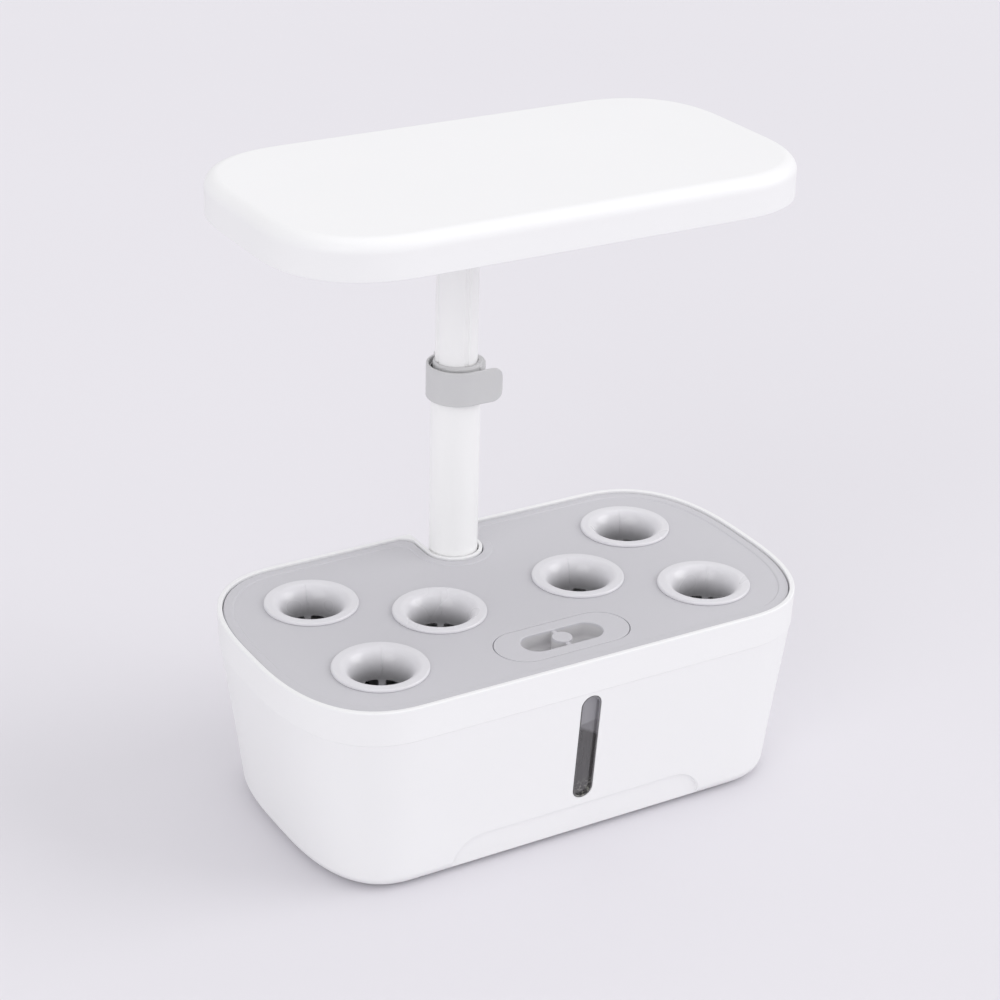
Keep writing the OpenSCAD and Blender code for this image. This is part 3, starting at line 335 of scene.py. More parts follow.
# %% [markdown]
# ## The tank
# The real tank is one injection moulding: sloping walls so that it leaves the mould, a
# steeper band below the rim, a big rounded bottom edge, a ledge inside for the deck and a
# U-shaped wall round the mast. Modelling it by hand with subdivision would blur the slim
# rim. Stacked superellipse rings give the outside, and every opening is a shaped tool.

# %% Rings of the tank
FILLET = 7.0
RIM_ROUND = 0.7
BAND_STEP = 0.34
COLLAR_R = 15.1


def wall_in(z, draft):
    sink = RIM_Z - z
    steep = math.tan(math.radians(BAND_DRAFT))
    return min(sink, BAND_H) * steep + max(sink - BAND_H, 0) * math.tan(math.radians(draft))


def tank_ring(z, inset):
    end, side = wall_in(z, END_DRAFT) + inset, wall_in(z, SIDE_DRAFT) + inset
    share = max(RIM_Z - z - BAND_H, 0) / (RIM_Z - BASE_Z - BAND_H)
    square = SQUARENESS + (BASE_SQUARENESS - SQUARENESS) * share
    return lift(tank_plan(end, side, square), z)


def opening_ring(z, grow=0.0):
    """The inner edge of the rim, with the notch wall round the mast."""
    side = wall_in(min(z, RIM_Z), SIDE_DRAFT) + RIM_W - grow
    return lift(notched(side, COLLAR_R - grow, NOTCH_ROUND + grow), z)


band_z = RIM_Z - BAND_H
outside = [tank_ring(BASE_Z + d, i) for d, i in reversed(quarter(FILLET, 14))]
outside += [tank_ring(z, BAND_STEP) for z in (30.0, 55.0, band_z - 2 * BAND_STEP)]
outside.append(tank_ring(band_z - BAND_STEP, BAND_STEP * 0.7))
outside += [tank_ring(z, 0) for z in (band_z, band_z + 8)]
outside += [tank_ring(RIM_Z - d, i) for d, i in quarter(RIM_ROUND)]
tank = skin("tank_shell", outside)
report(tank)

# %% [markdown]
# The water space follows the walls at an even thickness. A block inside the rear wall keeps
# the electronics dry, and the mast stands on it in a well that opens to the rear. Both are
# taken off the water space before it is cut from the tank, so they stay behind as solid
# plastic.

# %% Cut the water space, the deck opening and the mast well
BAY_X, BAY_Y, BAY_TOP, BAY_WALL = 40.0, 39.95, RIM_Z - 21.6, 2.2
WELL_R, WELL_LIP, MAST_HOLE_R = 13.3, 0.6, 12.85
PAST_REAR, PAST_TOP = 90.0, 120.0
INNER_FILLET = FILLET - WALL
LIP = 0.45


def box_tool(low, high):
    corners = [(low[0], low[1]), (high[0], low[1]), (high[0], high[1]), (low[0], high[1])]
    return prism("tool", corners, low[2], high[2])


def well_ring(z, grow=0.0):
    """The mast well: a half circle in front, straight sides, and rounded rear edges."""
    half, rear = WELL_R + grow, TANK_D / 2 - wall_in(z, SIDE_DRAFT)
    side = [(half + WELL_LIP, TANK_D / 2 + 8)]
    side += arc((half + WELL_LIP, rear - WELL_LIP), WELL_LIP, 90, 180, 4)
    return lift(side + round_mast(half) + [(-x, y) for x, y in reversed(side)], z)


water = [tank_ring(FLOOR_Z + d, WALL + i) for d, i in reversed(quarter(INNER_FILLET, 8))]
water += [tank_ring(z, WALL) for z in (band_z, LEDGE_Z - 5.1)]
water += [tank_ring(z, LEDGE_W) for z in (LEDGE_Z - 2.5, LEDGE_Z + 0.5)]
bay_side, bay_roof = BAY_X + BAY_WALL, BAY_TOP + BAY_WALL
collar_block = round_mast(COLLAR_R) + [(-COLLAR_R, PAST_REAR), (COLLAR_R, PAST_REAR)]
water = cut(
    skin("water_space", water),
    box_tool((-bay_side, BAY_Y - BAY_WALL, 0), (bay_side, PAST_REAR, bay_roof)),
    prism("tool", collar_block, BAY_TOP, PAST_TOP),
)
opening = [opening_ring(LEDGE_Z)] + [opening_ring(RIM_Z - d, i) for d, i in quarter(LIP)]
opening.append(opening_ring(RIM_Z + 2, LIP))
well = [well_ring(z) for z in (bay_roof, band_z)]
well += [well_ring(RIM_Z - d, i) for d, i in quarter(LIP)] + [well_ring(RIM_Z + 2, LIP)]
tank = cut(tank, skin("tool", opening), water, skin("tool", well))
report(tank)

# %% [markdown]
# The remaining openings sit on the sloping walls, so their tools are drawn flat, with depth
# as the third axis, and then laid onto the wall. The front wall gets the slot of the level
# window and the shallow relief along its foot; the rear wall gets the seat of the cover.

# %% Cut the window slot, the foot relief, the rear cover's seat and the small holes
WINDOW_Z, WINDOW_W, WINDOW_LEN = 53.4, 11.2, 60.0
COVER_Z, COVER_W, COVER_H, COVER_T = 43.8, 74.0, 58.0, 2.0
RELIEF_W, RELIEF_H, RELIEF_T, RELIEF_LIP = 142.0, 18.0, 1.3, 1.28
FOOT_R, FOOT_SEAT_Z, SOCKET_HEAD_Z, BAY_LOW = 7.0, 2.2, 2.5, 4.4
FEET = [(sx * 92.6, sy * 47.8) for sx in (-1, 1) for sy in (-1, 1)]
SOCKET_SCREWS = [(s * 18.35, MAST_Y + y) for s in (-1, 1) for y in (-10, 1)]
TURNED_OVER = Matrix.Diagonal((1, 1, -1, 1))


def on_wall(z, side):
    """Lays (across, up, depth) onto the front wall (side -1) or the rear wall (side 1)."""
    place = Matrix.Translation((0, side * (TANK_D / 2 - wall_in(z, SIDE_DRAFT)), z))
    tilt = Matrix.Rotation(math.radians(-side * SIDE_DRAFT), 4, "X")
    axes = Matrix(((1, 0, 0, 0), (0, 0, -side, 0), (0, 1, 0, 0), (0, 0, 0, 1)))
    return place @ tilt @ axes


def wall_tool(plan, depth, lip, wall):
    """A tool that cuts plan(0) to a depth below the wall's face and rounds the edge."""
    return hole_tool(plan, -depth, 0, lip, wall @ TURNED_OVER, spare=9)


def upright_slot(inset):
    return [(y, x) for x, y in stadium(WINDOW_LEN - 2 * inset, WINDOW_W - 2 * inset)]


def foot_relief(inset):
    plan = round_rect(RELIEF_W - 2 * inset, 3 * RELIEF_H - 2 * inset, 0.9 * RELIEF_H - inset, 12)
    return [(x, y - RELIEF_H) for x, y in plan]


def cover_seat(inset):
    return round_rect(COVER_W + 0.6 - 2 * inset, COVER_H + 0.6 - 2 * inset, 6 - inset)


front_slot, rear_wall = on_wall(WINDOW_Z, -1), on_wall(COVER_Z, 1)


def bay_ring(z):
    """The dry bay, whose rear follows the slope of the rear wall."""
    rear = TANK_D / 2 - wall_in(z, SIDE_DRAFT) - WALL - 0.8
    return lift([(-BAY_X, BAY_Y), (BAY_X, BAY_Y), (BAY_X, rear), (-BAY_X, rear)], z)


def bay_window(width, height):
    """A plain rectangular way into the bay, behind the rear cover."""
    return wall_tool(lambda i: round_rect(width - 2 * i, height - 2 * i, 6 - i), WALL + 2, 0, rear_wall)


tank = cut(
    tank,
    skin("tool", [bay_ring(z) for z in (BAY_LOW, BAY_TOP)]),
    drill(MAST_HOLE_R, BAY_TOP - 1, BAY_TOP + 4, (0, MAST_Y)),
    wall_tool(upright_slot, WALL + 2, 0.7, front_slot),
    wall_tool(foot_relief, RELIEF_T, RELIEF_LIP, on_wall(BASE_Z + RELIEF_H / 2, -1)),
    wall_tool(cover_seat, COVER_T + SEAT, 0.4, rear_wall),
    bay_window(68, 40),
    bay_window(56, 52),
)
foot_tools = [drill(FOOT_R + 0.2, -1, FOOT_SEAT_Z, p) for p in FEET]
screw_tools = [drill(3.0, -1, SOCKET_HEAD_Z, p, 32) for p in SOCKET_SCREWS]
tank = finish_mesh(cut(tank, *foot_tools, *screw_tools))
report(tank)

# %% [markdown]
# ## Feet, level window and rear cover
# Four rubber feet sit in shallow seats in the base. The level window is one clear moulding
# that lies almost flush with the wall, with a flange behind the wall and a shallow pocket in
# its face, so that a thin rim catches the light. The rear cover is a plain plate with a hole
# for the power inlet and four screws, whose heads are sunk in. All of them are rounded slabs.

# %% Feet, window and rear cover
feet = [slab("foot", lambda i, p=p: circle(FOOT_R - i, 48, p), 0, FOOT_SEAT_Z - SEAT, 0.5, 0.2) for p in FEET]
feet = finish_mesh(join(feet[0], *feet[1:]))
feet.name = "tank_feet"
report(feet)

LENS_IN, LENS_LAP, LENS_POCKET, LENS_RIM, LENS_FLANGE = 0.35, 3.43, 1.5, 1.0, 3.5
lens = slab("window_lens", lambda i: upright_slot(0.15 + i), LENS_IN, LENS_LAP + 0.2, 0.25, 0, front_slot)
flange = slab("flange", lambda i: upright_slot(i - LENS_FLANGE), LENS_LAP, LENS_LAP + 1.6, 0, 0.4, front_slot)
pocket = hole_tool(
    lambda i: upright_slot(LENS_RIM + i), -LENS_IN - LENS_POCKET, -LENS_IN, 0.3, front_slot @ TURNED_OVER,
)
lens = finish_mesh(cut(join(lens, flange), pocket))
report(lens)

COVER_SCREWS = [(sx * 32.5, sz * 24.5) for sx in (-1, 1) for sz in (-1, 1)]
HEAD_HOLE, SHANK_HOLE, HEAD_SUNK = 3, 1.65, 1.2
INLET, INLET_HOLE = (22, -14), 4.4


def cover_plan(inset):
    return round_rect(COVER_W - 2 * inset, COVER_H - 2 * inset, 6 - inset)


def cover_hole(radius, steps, place, depth, lip):
    return wall_tool(lambda i: circle(radius - i, steps, place), depth, lip, rear_wall)


cover = slab("back_cover", cover_plan, 0, COVER_T, 0.35, 0.1, rear_wall)
cover_holes = [cover_hole(HEAD_HOLE, 40, p, HEAD_SUNK, 0.25) for p in COVER_SCREWS]
cover_holes += [cover_hole(SHANK_HOLE, 32, p, 4, 0) for p in COVER_SCREWS]
cover_holes.append(cover_hole(INLET_HOLE, 48, INLET, 4, 0.3))
cover = finish_mesh(cut(cover, *cover_holes))
report(cover)

# %% [markdown]
# ## Screws
# Every visible screw is a small pan head with a cross recess. One is modelled with care, and
# the sets are copies of it, because a maker buys them by the box too.

# %% One screw and its copies
def make_screw(shank):
    """Pan head from z = -1.2 to 0 and shank up to its length, with a cross recess below."""
    head = [(0, -1.2), (1.5, -1.17), (2.2, -1.02), (2.55, -0.75), (2.7, -0.4), (2.7, -0.08), (2.62, 0)]
    screw = lathe("screw", head + [(1.45, 0), (1.45, shank - 0.6), (0.9, shank), (0, shank)], 40)
    blades = []
    for half_x, half_y, taper_x, taper_y in ((1.3, 0.275, 0.35, 0.8), (0.275, 1.3, 0.8, 0.35)):
        mouth = [(-half_x, -half_y), (half_x, -half_y), (half_x, half_y), (-half_x, half_y)]
        tip = [(x * taper_x, y * taper_y) for x, y in mouth]
        blades.append(skin("tool", [lift(mouth, -2), lift(tip, -0.35)]))
    return cut(screw, *blades)


def screw_set(name, shank, places):
    """One object with a screw at each matrix, given in millimetres about the tank's middle."""
    screw = make_screw(shank)
    shape = bmesh.new()
    to_mm = Matrix.Diagonal((1 / MM, 1 / MM, 1 / MM, 1)) @ Matrix.Translation((0, -TANK_MIDDLE_Y, 0))
    for place in places:
        copy = screw.data.copy()
        copy.transform(to_mm.inverted() @ place @ to_mm)
        shape.from_mesh(copy)
        bpy.data.meshes.remove(copy)
    bmesh.ops.recalc_face_normals(shape, faces=shape.faces)
    screws = bpy.data.objects.new(name, bpy.data.meshes.new(name))
    shape.to_mesh(screws.data)
    shape.free()
    bpy.context.scene.collection.objects.link(screws)
    bpy.data.meshes.remove(screw.data)
    finish_mesh(screws)
    report(screws)
    return screws


def turned(place, turn):
    """A place in millimetres, turned in radians so that no two crosses look alike."""
    return Matrix.Translation(place) @ Matrix.Rotation(turn, 4, "Z")


cover_screws = screw_set("cover_screw_set", 7, [
    rear_wall @ turned((x, z, HEAD_SUNK), math.radians(25 * k + 11)) for k, (x, z) in enumerate(COVER_SCREWS)
])
socket_screws = screw_set("socket_screw_set", 4.8, [
    turned((x, y, SOCKET_HEAD_Z - SEAT), 0.4 + k) for k, (x, y) in enumerate(SOCKET_SCREWS)
])

# %% [markdown]
# ## The grow deck
# The deck is a flat moulding that lies on the ledge inside the rim. Its border stands half a
# millimetre above the field and follows the rim and the notch. Because the outline function
# already knows the notch, the border is the same outline drawn smaller, and nothing has to
# be traced twice.

# %% Deck plate
DECK_IN, BORDER_W, NOTCH = RIM_W + DECK_GAP, 5.0, 15.6
HOLE, SKIRT_Z, SKIRT_T, SKIRT_BACK = 21.2, LEDGE_Z - 6, 1.6, 76.0
CAP_Y, CAP_W, CAP_D, CAP_T, CAP_LAP, CAP_GAP = 49.7, 72.0, 30.0, 2.0, 2.0, 0.35


def deck_plan(inset):
    return notched(DECK_IN + inset, NOTCH + inset, NOTCH_ROUND - inset)


def field_plan(grow):
    return notched(DECK_IN + BORDER_W - grow, NOTCH + BORDER_W - grow, NOTCH_ROUND + grow)


def cap_opening(inset, lap=0.0):
    return [(x, y - CAP_Y) for x, y in stadium(CAP_W - 2 * (inset + lap), CAP_D - 2 * (inset + lap), 28)]


deck = slab("deck_plate", deck_plan, LEDGE_Z + SEAT, BORDER_Z, 0.3, 0.6)
field_step = [(0, FIELD_Z), (0.12, FIELD_Z + 0.04), (0.42, FIELD_Z + 0.3), (0.7, FIELD_Z + 0.45)]
field_step += [(1.1, BORDER_Z), (1.1, BORDER_Z + 2)]
field_tool = skin("tool", [lift(field_plan(grow), z) for grow, z in field_step])


def skirt_plan(inset):
    edge = LEDGE_W + DECK_GAP + inset
    return tank_plan(edge, edge)


skirt = prism("skirt", skirt_plan(0), SKIRT_Z, LEDGE_Z + 0.3)
skirt = cut(skirt, prism("tool", skirt_plan(SKIRT_T), SKIRT_Z - 1, LEDGE_Z + SEAT))
collar_plans = [circle(HOLE + SKIRT_T, 96, p) for p in BASKETS] + [cap_opening(-SKIRT_T, CAP_LAP)]
deck = join(deck, skirt, *[prism("collar", plan, SKIRT_Z, LEDGE_Z + 0.6) for plan in collar_plans])
notch_block = round_mast(NOTCH) + [(-NOTCH, SKIRT_BACK), (NOTCH, SKIRT_BACK)]
basket_holes = [hole_tool(lambda i, p=p: circle(HOLE - i, 96, p), SKIRT_Z - 2, FIELD_Z, 0.3) for p in BASKETS]
deck = finish_mesh(cut(
    deck,
    field_tool,
    prism("tool", notch_block, SKIRT_Z - 2, LEDGE_Z + 0.4),
    hole_tool(lambda i: cap_opening(i - CAP_GAP), FIELD_Z - CAP_T - SEAT, FIELD_Z, 0.3),
    prism("tool", cap_opening(0, CAP_LAP), SKIRT_Z - 2, FIELD_Z - 1),
    *basket_holes,
))
report(deck)

# %% [markdown]
# ## Fill cap
# The cap closes the fill opening. A finger reaches into its deep stadium recess and pulls on
# the web that crosses it, where a flat round boss stands flush with the deck. The recess has
# a rounded floor, because a mould needs it and because a wet finger cleans it.

# %% Cap with recess, web and boss
GRIP_W, GRIP_D, GRIP_H, GRIP_T = 44.0, 16.5, 9.0, 1.6
WEB_T, WEB_SUNK, BOSS_R = 2.4, 0.8, 5.0


def grip_plan(grow):
    return [(x, y - CAP_Y) for x, y in stadium(GRIP_W + 2 * grow, GRIP_D + 2 * grow, 24)]


def web_plan(inset):
    plan = round_rect(WEB_T - 2 * inset, GRIP_D + 0.8, 0.05, 2)
    return [(x, y - CAP_Y) for x, y in plan]


cap = slab("cap_plate", cap_opening, FIELD_Z - CAP_T, FIELD_Z, 0.2, 0.35)
cup = slab("cup", lambda i: grip_plan(GRIP_T - i), FIELD_Z - GRIP_H - GRIP_T, FIELD_Z - 1, 1.2, 0)
recess = [lift(grip_plan(-i), FIELD_Z - GRIP_H + d) for d, i in reversed(quarter(2.2))]
recess += [lift(grip_plan(i), FIELD_Z - d) for d, i in quarter(0.6)] + [lift(grip_plan(0.6), FIELD_Z + 2)]
cap = cut(join(cap, cup), skin("tool", recess))
web_low = FIELD_Z - GRIP_H - 0.4
web = slab("web", web_plan, web_low, FIELD_Z - WEB_SUNK, 0, 0.45)
boss = slab("boss", lambda i: circle(BOSS_R - i, 64, (0, -CAP_Y)), web_low, FIELD_Z, 0, 0.35)
cap = finish_mesh(join(cap, web, boss))
report(cap)

# %% [markdown]
# ## Net baskets
# A basket is a turned shape: a wide flange that lies on the deck, a bell mouth that runs
# smoothly into the throat, and a cage with eight upright slots for the roots. A lathe
# profile gives the shape, and eight slot tools with round ends cut the cage. The mould's
# parting line stays visible as a fine rib down the bell, so it is modelled as well.

# %% Basket profile and slots
FLANGE_R, FLANGE_T, THROAT_R, BELL_R = 23.4, 1.6, 13.25, 20.0
BELL_H, CAGE_R, CAGE_H, NET_T, NECK_R = 11.0, 11.25, 44.0, 1.4, 20.8
SLOT_LOW, SLOT_TOP, SLOT_W = -40.0, -13.5, 7.2
DRAIN_R, DRAIN_RING, MIDDLE_DRAIN_R, DRAIN_DEPTH = 1.8, 7.25, 3, (-46, -40)
BELL_STEPS = 16


def bell(skin_t):
    """The bell mouth from the flange down to the throat, or its outside at a thickness."""
    points = []
    for k in range(BELL_STEPS + 1):
        a = math.radians(90 * k / BELL_STEPS)
        radius = THROAT_R + (BELL_R - THROAT_R) * (1 - math.sin(a)) + skin_t * math.sin(a)
        points.append((radius, FLANGE_T - (BELL_H + FLANGE_T) * (1 - math.cos(a)) - skin_t * math.cos(a)))
    return points


edge = [(FLANGE_R - 0.25, 0), (FLANGE_R, 0.2)]
edge += [(FLANGE_R - i, FLANGE_T - d) for d, i in quarter(0.9, 6)]
inside = bell(0) + [(CAGE_R + 0.6, -CAGE_H + 4), (CAGE_R, -CAGE_H + NET_T + 0.8)]
inside += [(CAGE_R - 0.8, -CAGE_H + NET_T), (0, -CAGE_H + NET_T)]
under = [(0, -CAGE_H), (CAGE_R + 0.6, -CAGE_H), (CAGE_R + NET_T, -CAGE_H + 0.8)]
under += list(reversed(bell(NET_T)[2:]))
neck = [(NECK_R - NET_T, 0.1), (NECK_R - NET_T, -6), (NECK_R, -6), (NECK_R, 0)]
net = lathe("net", edge + inside + under + neck, 120)


def slot_tool(turn):
    """An upright slot with rounded corners through the cage, pointing outwards at an angle."""
    plan = round_rect(SLOT_TOP - SLOT_LOW, SLOT_W, 1.2, 4)
    rings = [[(reach, y, (SLOT_TOP + SLOT_LOW) / 2 + x) for x, y in plan] for reach in (7, 21)]
    return skin("tool", rings, Matrix.Rotation(math.radians(turn), 4, "Z"))


def drain_tool(turn):
    """A small hole in the basket's floor, on a circle round the middle one."""
    a = math.radians(turn)
    return drill(DRAIN_R, *DRAIN_DEPTH, (DRAIN_RING * math.cos(a), DRAIN_RING * math.sin(a)), 24)


slots = [slot_tool(22.5 + 45 * k) for k in range(8)]
drains = [drain_tool(45 * k) for k in range(8)] + [drill(MIDDLE_DRAIN_R, *DRAIN_DEPTH, steps=32)]
net = cut(net, *slots, *drains)


def parting_rib():
    """A fine rib that follows the bell, half sunk in it."""
    section = [(0.2, -0.35), (-0.26, -0.2), (-0.26, 0.2), (0.2, 0.35)]
    return skin("rib", [lift([(radius + u, v) for u, v in section], z) for radius, z in bell(0)[2:-1]])


net = finish_mesh(join(net, parting_rib()), 40)
report(net)

# %% [markdown]
# The six baskets are copies of one mesh, as the real ones come from one mould. Each was
# dropped in by hand, so each is turned a little differently about its own axis.

# %% Six baskets
BASKET_TURNS = [59, 72, 58, 74, 48, 66]
baskets = []
for number, ((x, y), turn) in enumerate(zip(BASKETS, BASKET_TURNS), 1):
    mesh = net.data.copy()
    seat = Matrix.Translation(to_frame((x, y, FIELD_Z + SEAT)))
    spin = Matrix.Rotation(math.radians(turn), 4, "Z")
    mesh.transform(seat @ spin @ Matrix.Translation(-to_frame((0, 0, 0))))
    basket = bpy.data.objects.new(f"net_basket_{number}", mesh)
    mesh.name = basket.name
    bpy.context.scene.collection.objects.link(basket)
    finish_mesh(basket, 40)
    baskets.append(basket)
bpy.data.meshes.remove(net.data)
print("baskets at", BASKETS)

# %% [markdown]
# ## The telescopic mast
# The lower tube is plain drawn aluminium with white paint. The upper tube has four shallow
# grooves along it, which stop it from turning and hide scratches from the clamp. Both are
# hollow; a plan drawn point by point and stretched upwards is all they need.

# %% Mast tubes
TUBE_R, TUBE_IN = 12.55, 11.25
POST_R, POST_IN = 10.7, 9.3
GROOVE_W, GROOVE_H = 2.4, 0.6
TUBE_LOW, TUBE_HIGH = 22.42, CLAMP_Z + 11
POST_LOW, POST_HIGH = CLAMP_Z - 84, LAMP_Z + 12.6


def groove_depth(angle):
    """How far the wall is pressed in at an angle: a flat channel with soft shoulders."""
    off = abs((angle + 45) % 90 - 45) * math.pi / 180 * POST_R
    t = min(max((GROOVE_W / 2 + 0.25 - off) / 0.5, 0), 1)
    return GROOVE_H * t * t * (3 - 2 * t)


def post_plan(inset):
    """Outline of the upper tube, with close points where a groove's shoulders curve."""
    shoulder = [4.8 + 0.4 * i for i in range(9)]
    across_groove = [-angle for angle in reversed(shoulder)] + [0] + shoulder
    points = []
    for k in range(4):
        for angle in across_groove + [12 + 6 * i for i in range(12)]:
            r = POST_R - inset - groove_depth(angle)
            a = math.radians(90 * k + angle)
            points.append((r * math.cos(a), r * math.sin(a) + MAST_Y))
    return points


def round_tube(name, outer, inner, low, high, rounding):
    """A hollow tube as one loop of rings, rounded at its upper end."""
    heights = [(inner, low), (outer, low)]
    heights += [(outer - i, high - d) for d, i in quarter(rounding)]
    heights += [(inner + i, high - d) for d, i in reversed(quarter(rounding * 0.5))]
    return skin(name, [lift(circle(r, 96, (0, MAST_Y)), z) for r, z in heights], loop=True)


lower = finish_mesh(round_tube("tube_lower", TUBE_R, TUBE_IN, TUBE_LOW, TUBE_HIGH, 0.4))
report(lower)
post_rings = [lift(post_plan(0.3), POST_LOW)]
post_rings += [lift(post_plan(0), z) for z in (POST_LOW + 0.3, POST_HIGH)]
bore = drill(POST_IN, POST_LOW - 1, POST_HIGH + 1, (0, MAST_Y), 96)
upper = finish_mesh(cut(skin("tube_upper", post_rings), bore), 50)
report(upper)

# %% [markdown]
# ## The flip-lock clamp
# The collar grips the upper tube when its lever is pressed home. The lever is a strip that
# wraps round the left of the collar and ends in a tab that a thumb can flip. A strip like
# that is a rounded cross-section carried along a path, so it is swept: the path is an arc
# and a straight run, and the section gets smaller where the tab's corners turn.

# %% Sweep of a rounded strip
def strip_section(half_t, half_h, rounding):
    """Rounded rectangle across a strip, as (outwards, up) pairs."""
    return round_rect(2 * half_t, 2 * half_h, min(rounding, half_t * 0.98, half_h * 0.98), 4)


def round_end(left, radius):
    """How much a rounded end takes off each side, at a distance from the end."""
    if left >= radius:
        return 0.0
    return radius - math.sqrt(max(radius**2 - (radius - left) ** 2, 0))


def sweep_strip(name, path, thickness, height, middle_z, rounding, end_radii):
    """path has (x, y, outward angle) points; end_radii are the corner radii at its two ends."""
    lengths = [0.0]
    for before, after in zip(path, path[1:]):
        lengths.append(lengths[-1] + math.hypot(after[0] - before[0], after[1] - before[1]))
    rings = []
    for (x, y, angle), along in zip(path, lengths):
        start, end = along, lengths[-1] - along
        soft = max(round_end(start, rounding), round_end(end, rounding))
        corner = max(round_end(start, end_radii[0]), round_end(end, end_radii[1]))
        half_t = max(thickness / 2 - soft, 0.05)
        half_h = height / 2 - max(corner, soft)
        nx, ny = math.cos(math.radians(angle)), math.sin(math.radians(angle))
        section = strip_section(half_t, half_h, rounding)
        rings.append([(x + u * nx, y + u * ny, middle_z + v) for u, v in section])
    return skin(name, rings)


def end_steps(length, near, spacing):
    """Distances along a run, close together within `near` of its end."""
    coarse = [i * spacing for i in range(int((length - near) / spacing) + 1)]
    fine = [length - near * math.cos(math.radians(90 * k / 12)) for k in range(13)]
    return coarse + [d for d in fine if d > coarse[-1] + 0.05]


# %% [markdown]
# The lever's band is centred a little to the front of the mast, which leaves the dark gap
# that widens towards the front. The tab runs straight on from the band's foremost point.

# %% Lever
LEVER_MID, LEVER_IN, LEVER_T = (0.4, -0.8), 14.394, 1.45
LEVER_Z = CLAMP_Z - 0.4 + CLAMP_H / 2
TAB_END, TAB_ROUND = 17.6, 5.6
PIN_R, PIN_ANGLE, PIN_HOLE_R, KNUCKLE = 14.85, 100, 1.05, 1.9
PIN = (PIN_R * math.cos(math.radians(PIN_ANGLE)), PIN_R * math.sin(math.radians(PIN_ANGLE)))
LUG_H = 3.7
band_r = LEVER_IN + LEVER_T / 2


def band_point(turn):
    """A point in the middle of the lever's band, with its outward angle."""
    a = math.radians(turn)
    return (LEVER_MID[0] + band_r * math.cos(a), LEVER_MID[1] + MAST_Y + band_r * math.sin(a), turn)


band_turns = [110 + t for t in (0, 0.6, 1.2, 2, 3)] + [114 + 3 * k for k in range(52)] + [270]
lever_path = [band_point(t) for t in band_turns]
front_y = LEVER_MID[1] - band_r + MAST_Y
tab_run = end_steps(TAB_END - LEVER_MID[0], TAB_ROUND, 1.2)
lever_path += [(LEVER_MID[0] + d, front_y, 270) for d in tab_run if d > 0.3]
lever = sweep_strip("clamp_flip", lever_path, LEVER_T, CLAMP_H, LEVER_Z, 0.6, (0.6, TAB_ROUND))
pin_place = (PIN[0], PIN[1] + MAST_Y)
eye_low, eye_high = CLAMP_Z + LUG_H, CLAMP_Z + CLAMP_H - LUG_H
eye = slab("eye", lambda i: circle(KNUCKLE - i, 40, pin_place), eye_low, eye_high, 0.2, 0.2)
neck = sweep_strip(
    "neck", [band_point(101 + k) for k in range(14)],
    LEVER_T * 0.96, eye_high - eye_low, (eye_low + eye_high) / 2, 0.2, (0.2, 0.2),
)
pin_hole = drill(PIN_HOLE_R, CLAMP_Z, CLAMP_Z + 20, pin_place, 32)
lever = finish_mesh(cut(join(lever, eye, neck), pin_hole), 45)
report(lever)

# %% [markdown]
# The collar under it is a thin sleeve with a thicker jaw on the right, two lugs for the
# hinge pin, and a collet on top. The collet's ring is a little off the mast's axis, so it is
# a stack of circles whose middle moves from the outside to the bore.

# %% Collar
SLEEVE_IN, SLEEVE_OUT, JAW_OUT = 12.6, 13.2, 14.7
collar_low, collar_high = CLAMP_Z + 0.4, CLAMP_Z + CLAMP_H
COLLET, COLLET_IN = (0.9, -0.5), 11.0
sleeve = round_tube("clamp_ring", SLEEVE_OUT, SLEEVE_IN, collar_low, collar_high - 2.9, 0.2)
jaw_r = (SLEEVE_IN + JAW_OUT) / 2
jaw_turns = [-62, -61.4, -60.6, -59.6] + [-58 + 4 * k for k in range(36)] + [83.6, 85.6, 86.6, 87.4, 88]
jaw = sweep_strip(
    "jaw",
    [(jaw_r * math.cos(math.radians(t)), MAST_Y + jaw_r * math.sin(math.radians(t)), t) for t in jaw_turns],
    JAW_OUT - SLEEVE_IN, CLAMP_H - 0.4, (collar_low + collar_high) / 2, 0.6, (0.6, 0.6),
)


def collet_ring(radius, z, share=1.0):
    return lift(circle(radius, 96, (COLLET[0] * share, COLLET[1] * share + MAST_Y)), z)


off_axis = [(12.8, -3), (12.8, -0.35), (12.68, -0.08), (12.4, 0.18), (12.08, 0.72)]
off_axis += [(11.95, 0.92), (11.75, 1.0)]
collet_rings = [collet_ring(COLLET_IN, collar_high - 3, 0)]
collet_rings += [collet_ring(radius, collar_high + z) for radius, z in off_axis]
collet_rings += [collet_ring(11.3, collar_high + 0.98, 0.3), collet_ring(11.1, collar_high + 0.88, 0)]
collet_rings.append(collet_ring(COLLET_IN, collar_high + 0.6, 0))
collet = skin("collet", collet_rings, loop=True)


def lug_plan(inset):
    """A rounded lug from the sleeve out to the hinge pin."""
    a = math.radians(PIN_ANGLE)
    along, across = Vector((math.cos(a), math.sin(a))), Vector((-math.sin(a), math.cos(a)))
    r = KNUCKLE - inset
    tip = [Vector(PIN) + Vector(p) for p in arc((0, 0), r, PIN_ANGLE - 90, PIN_ANGLE + 90, 16)]
    root = [along * 12.9 + across * r, along * 12.9 - across * r]
    return [(p.x, p.y + MAST_Y) for p in tip + root]


low_lug = slab("lug", lug_plan, collar_low, eye_low - 0.3, 0.3, 0.15)
high_lug = slab("lug", lug_plan, eye_high + 0.3, collar_high, 0.15, 0.3)
collar = finish_mesh(join(sleeve, jaw, collet, low_lug, high_lug), 45)
report(collar)

# %% [markdown]
# ## The lamp head
# The cover is a shallow tray turned over, with squarish round corners like the tank's and a
# softly rounded top edge. It is one stack of rings: down the inside, round the lower lip,
# and up the outside to the top. The base plate closes it from below, with a light window,
# the hole for the mast and two push buttons.

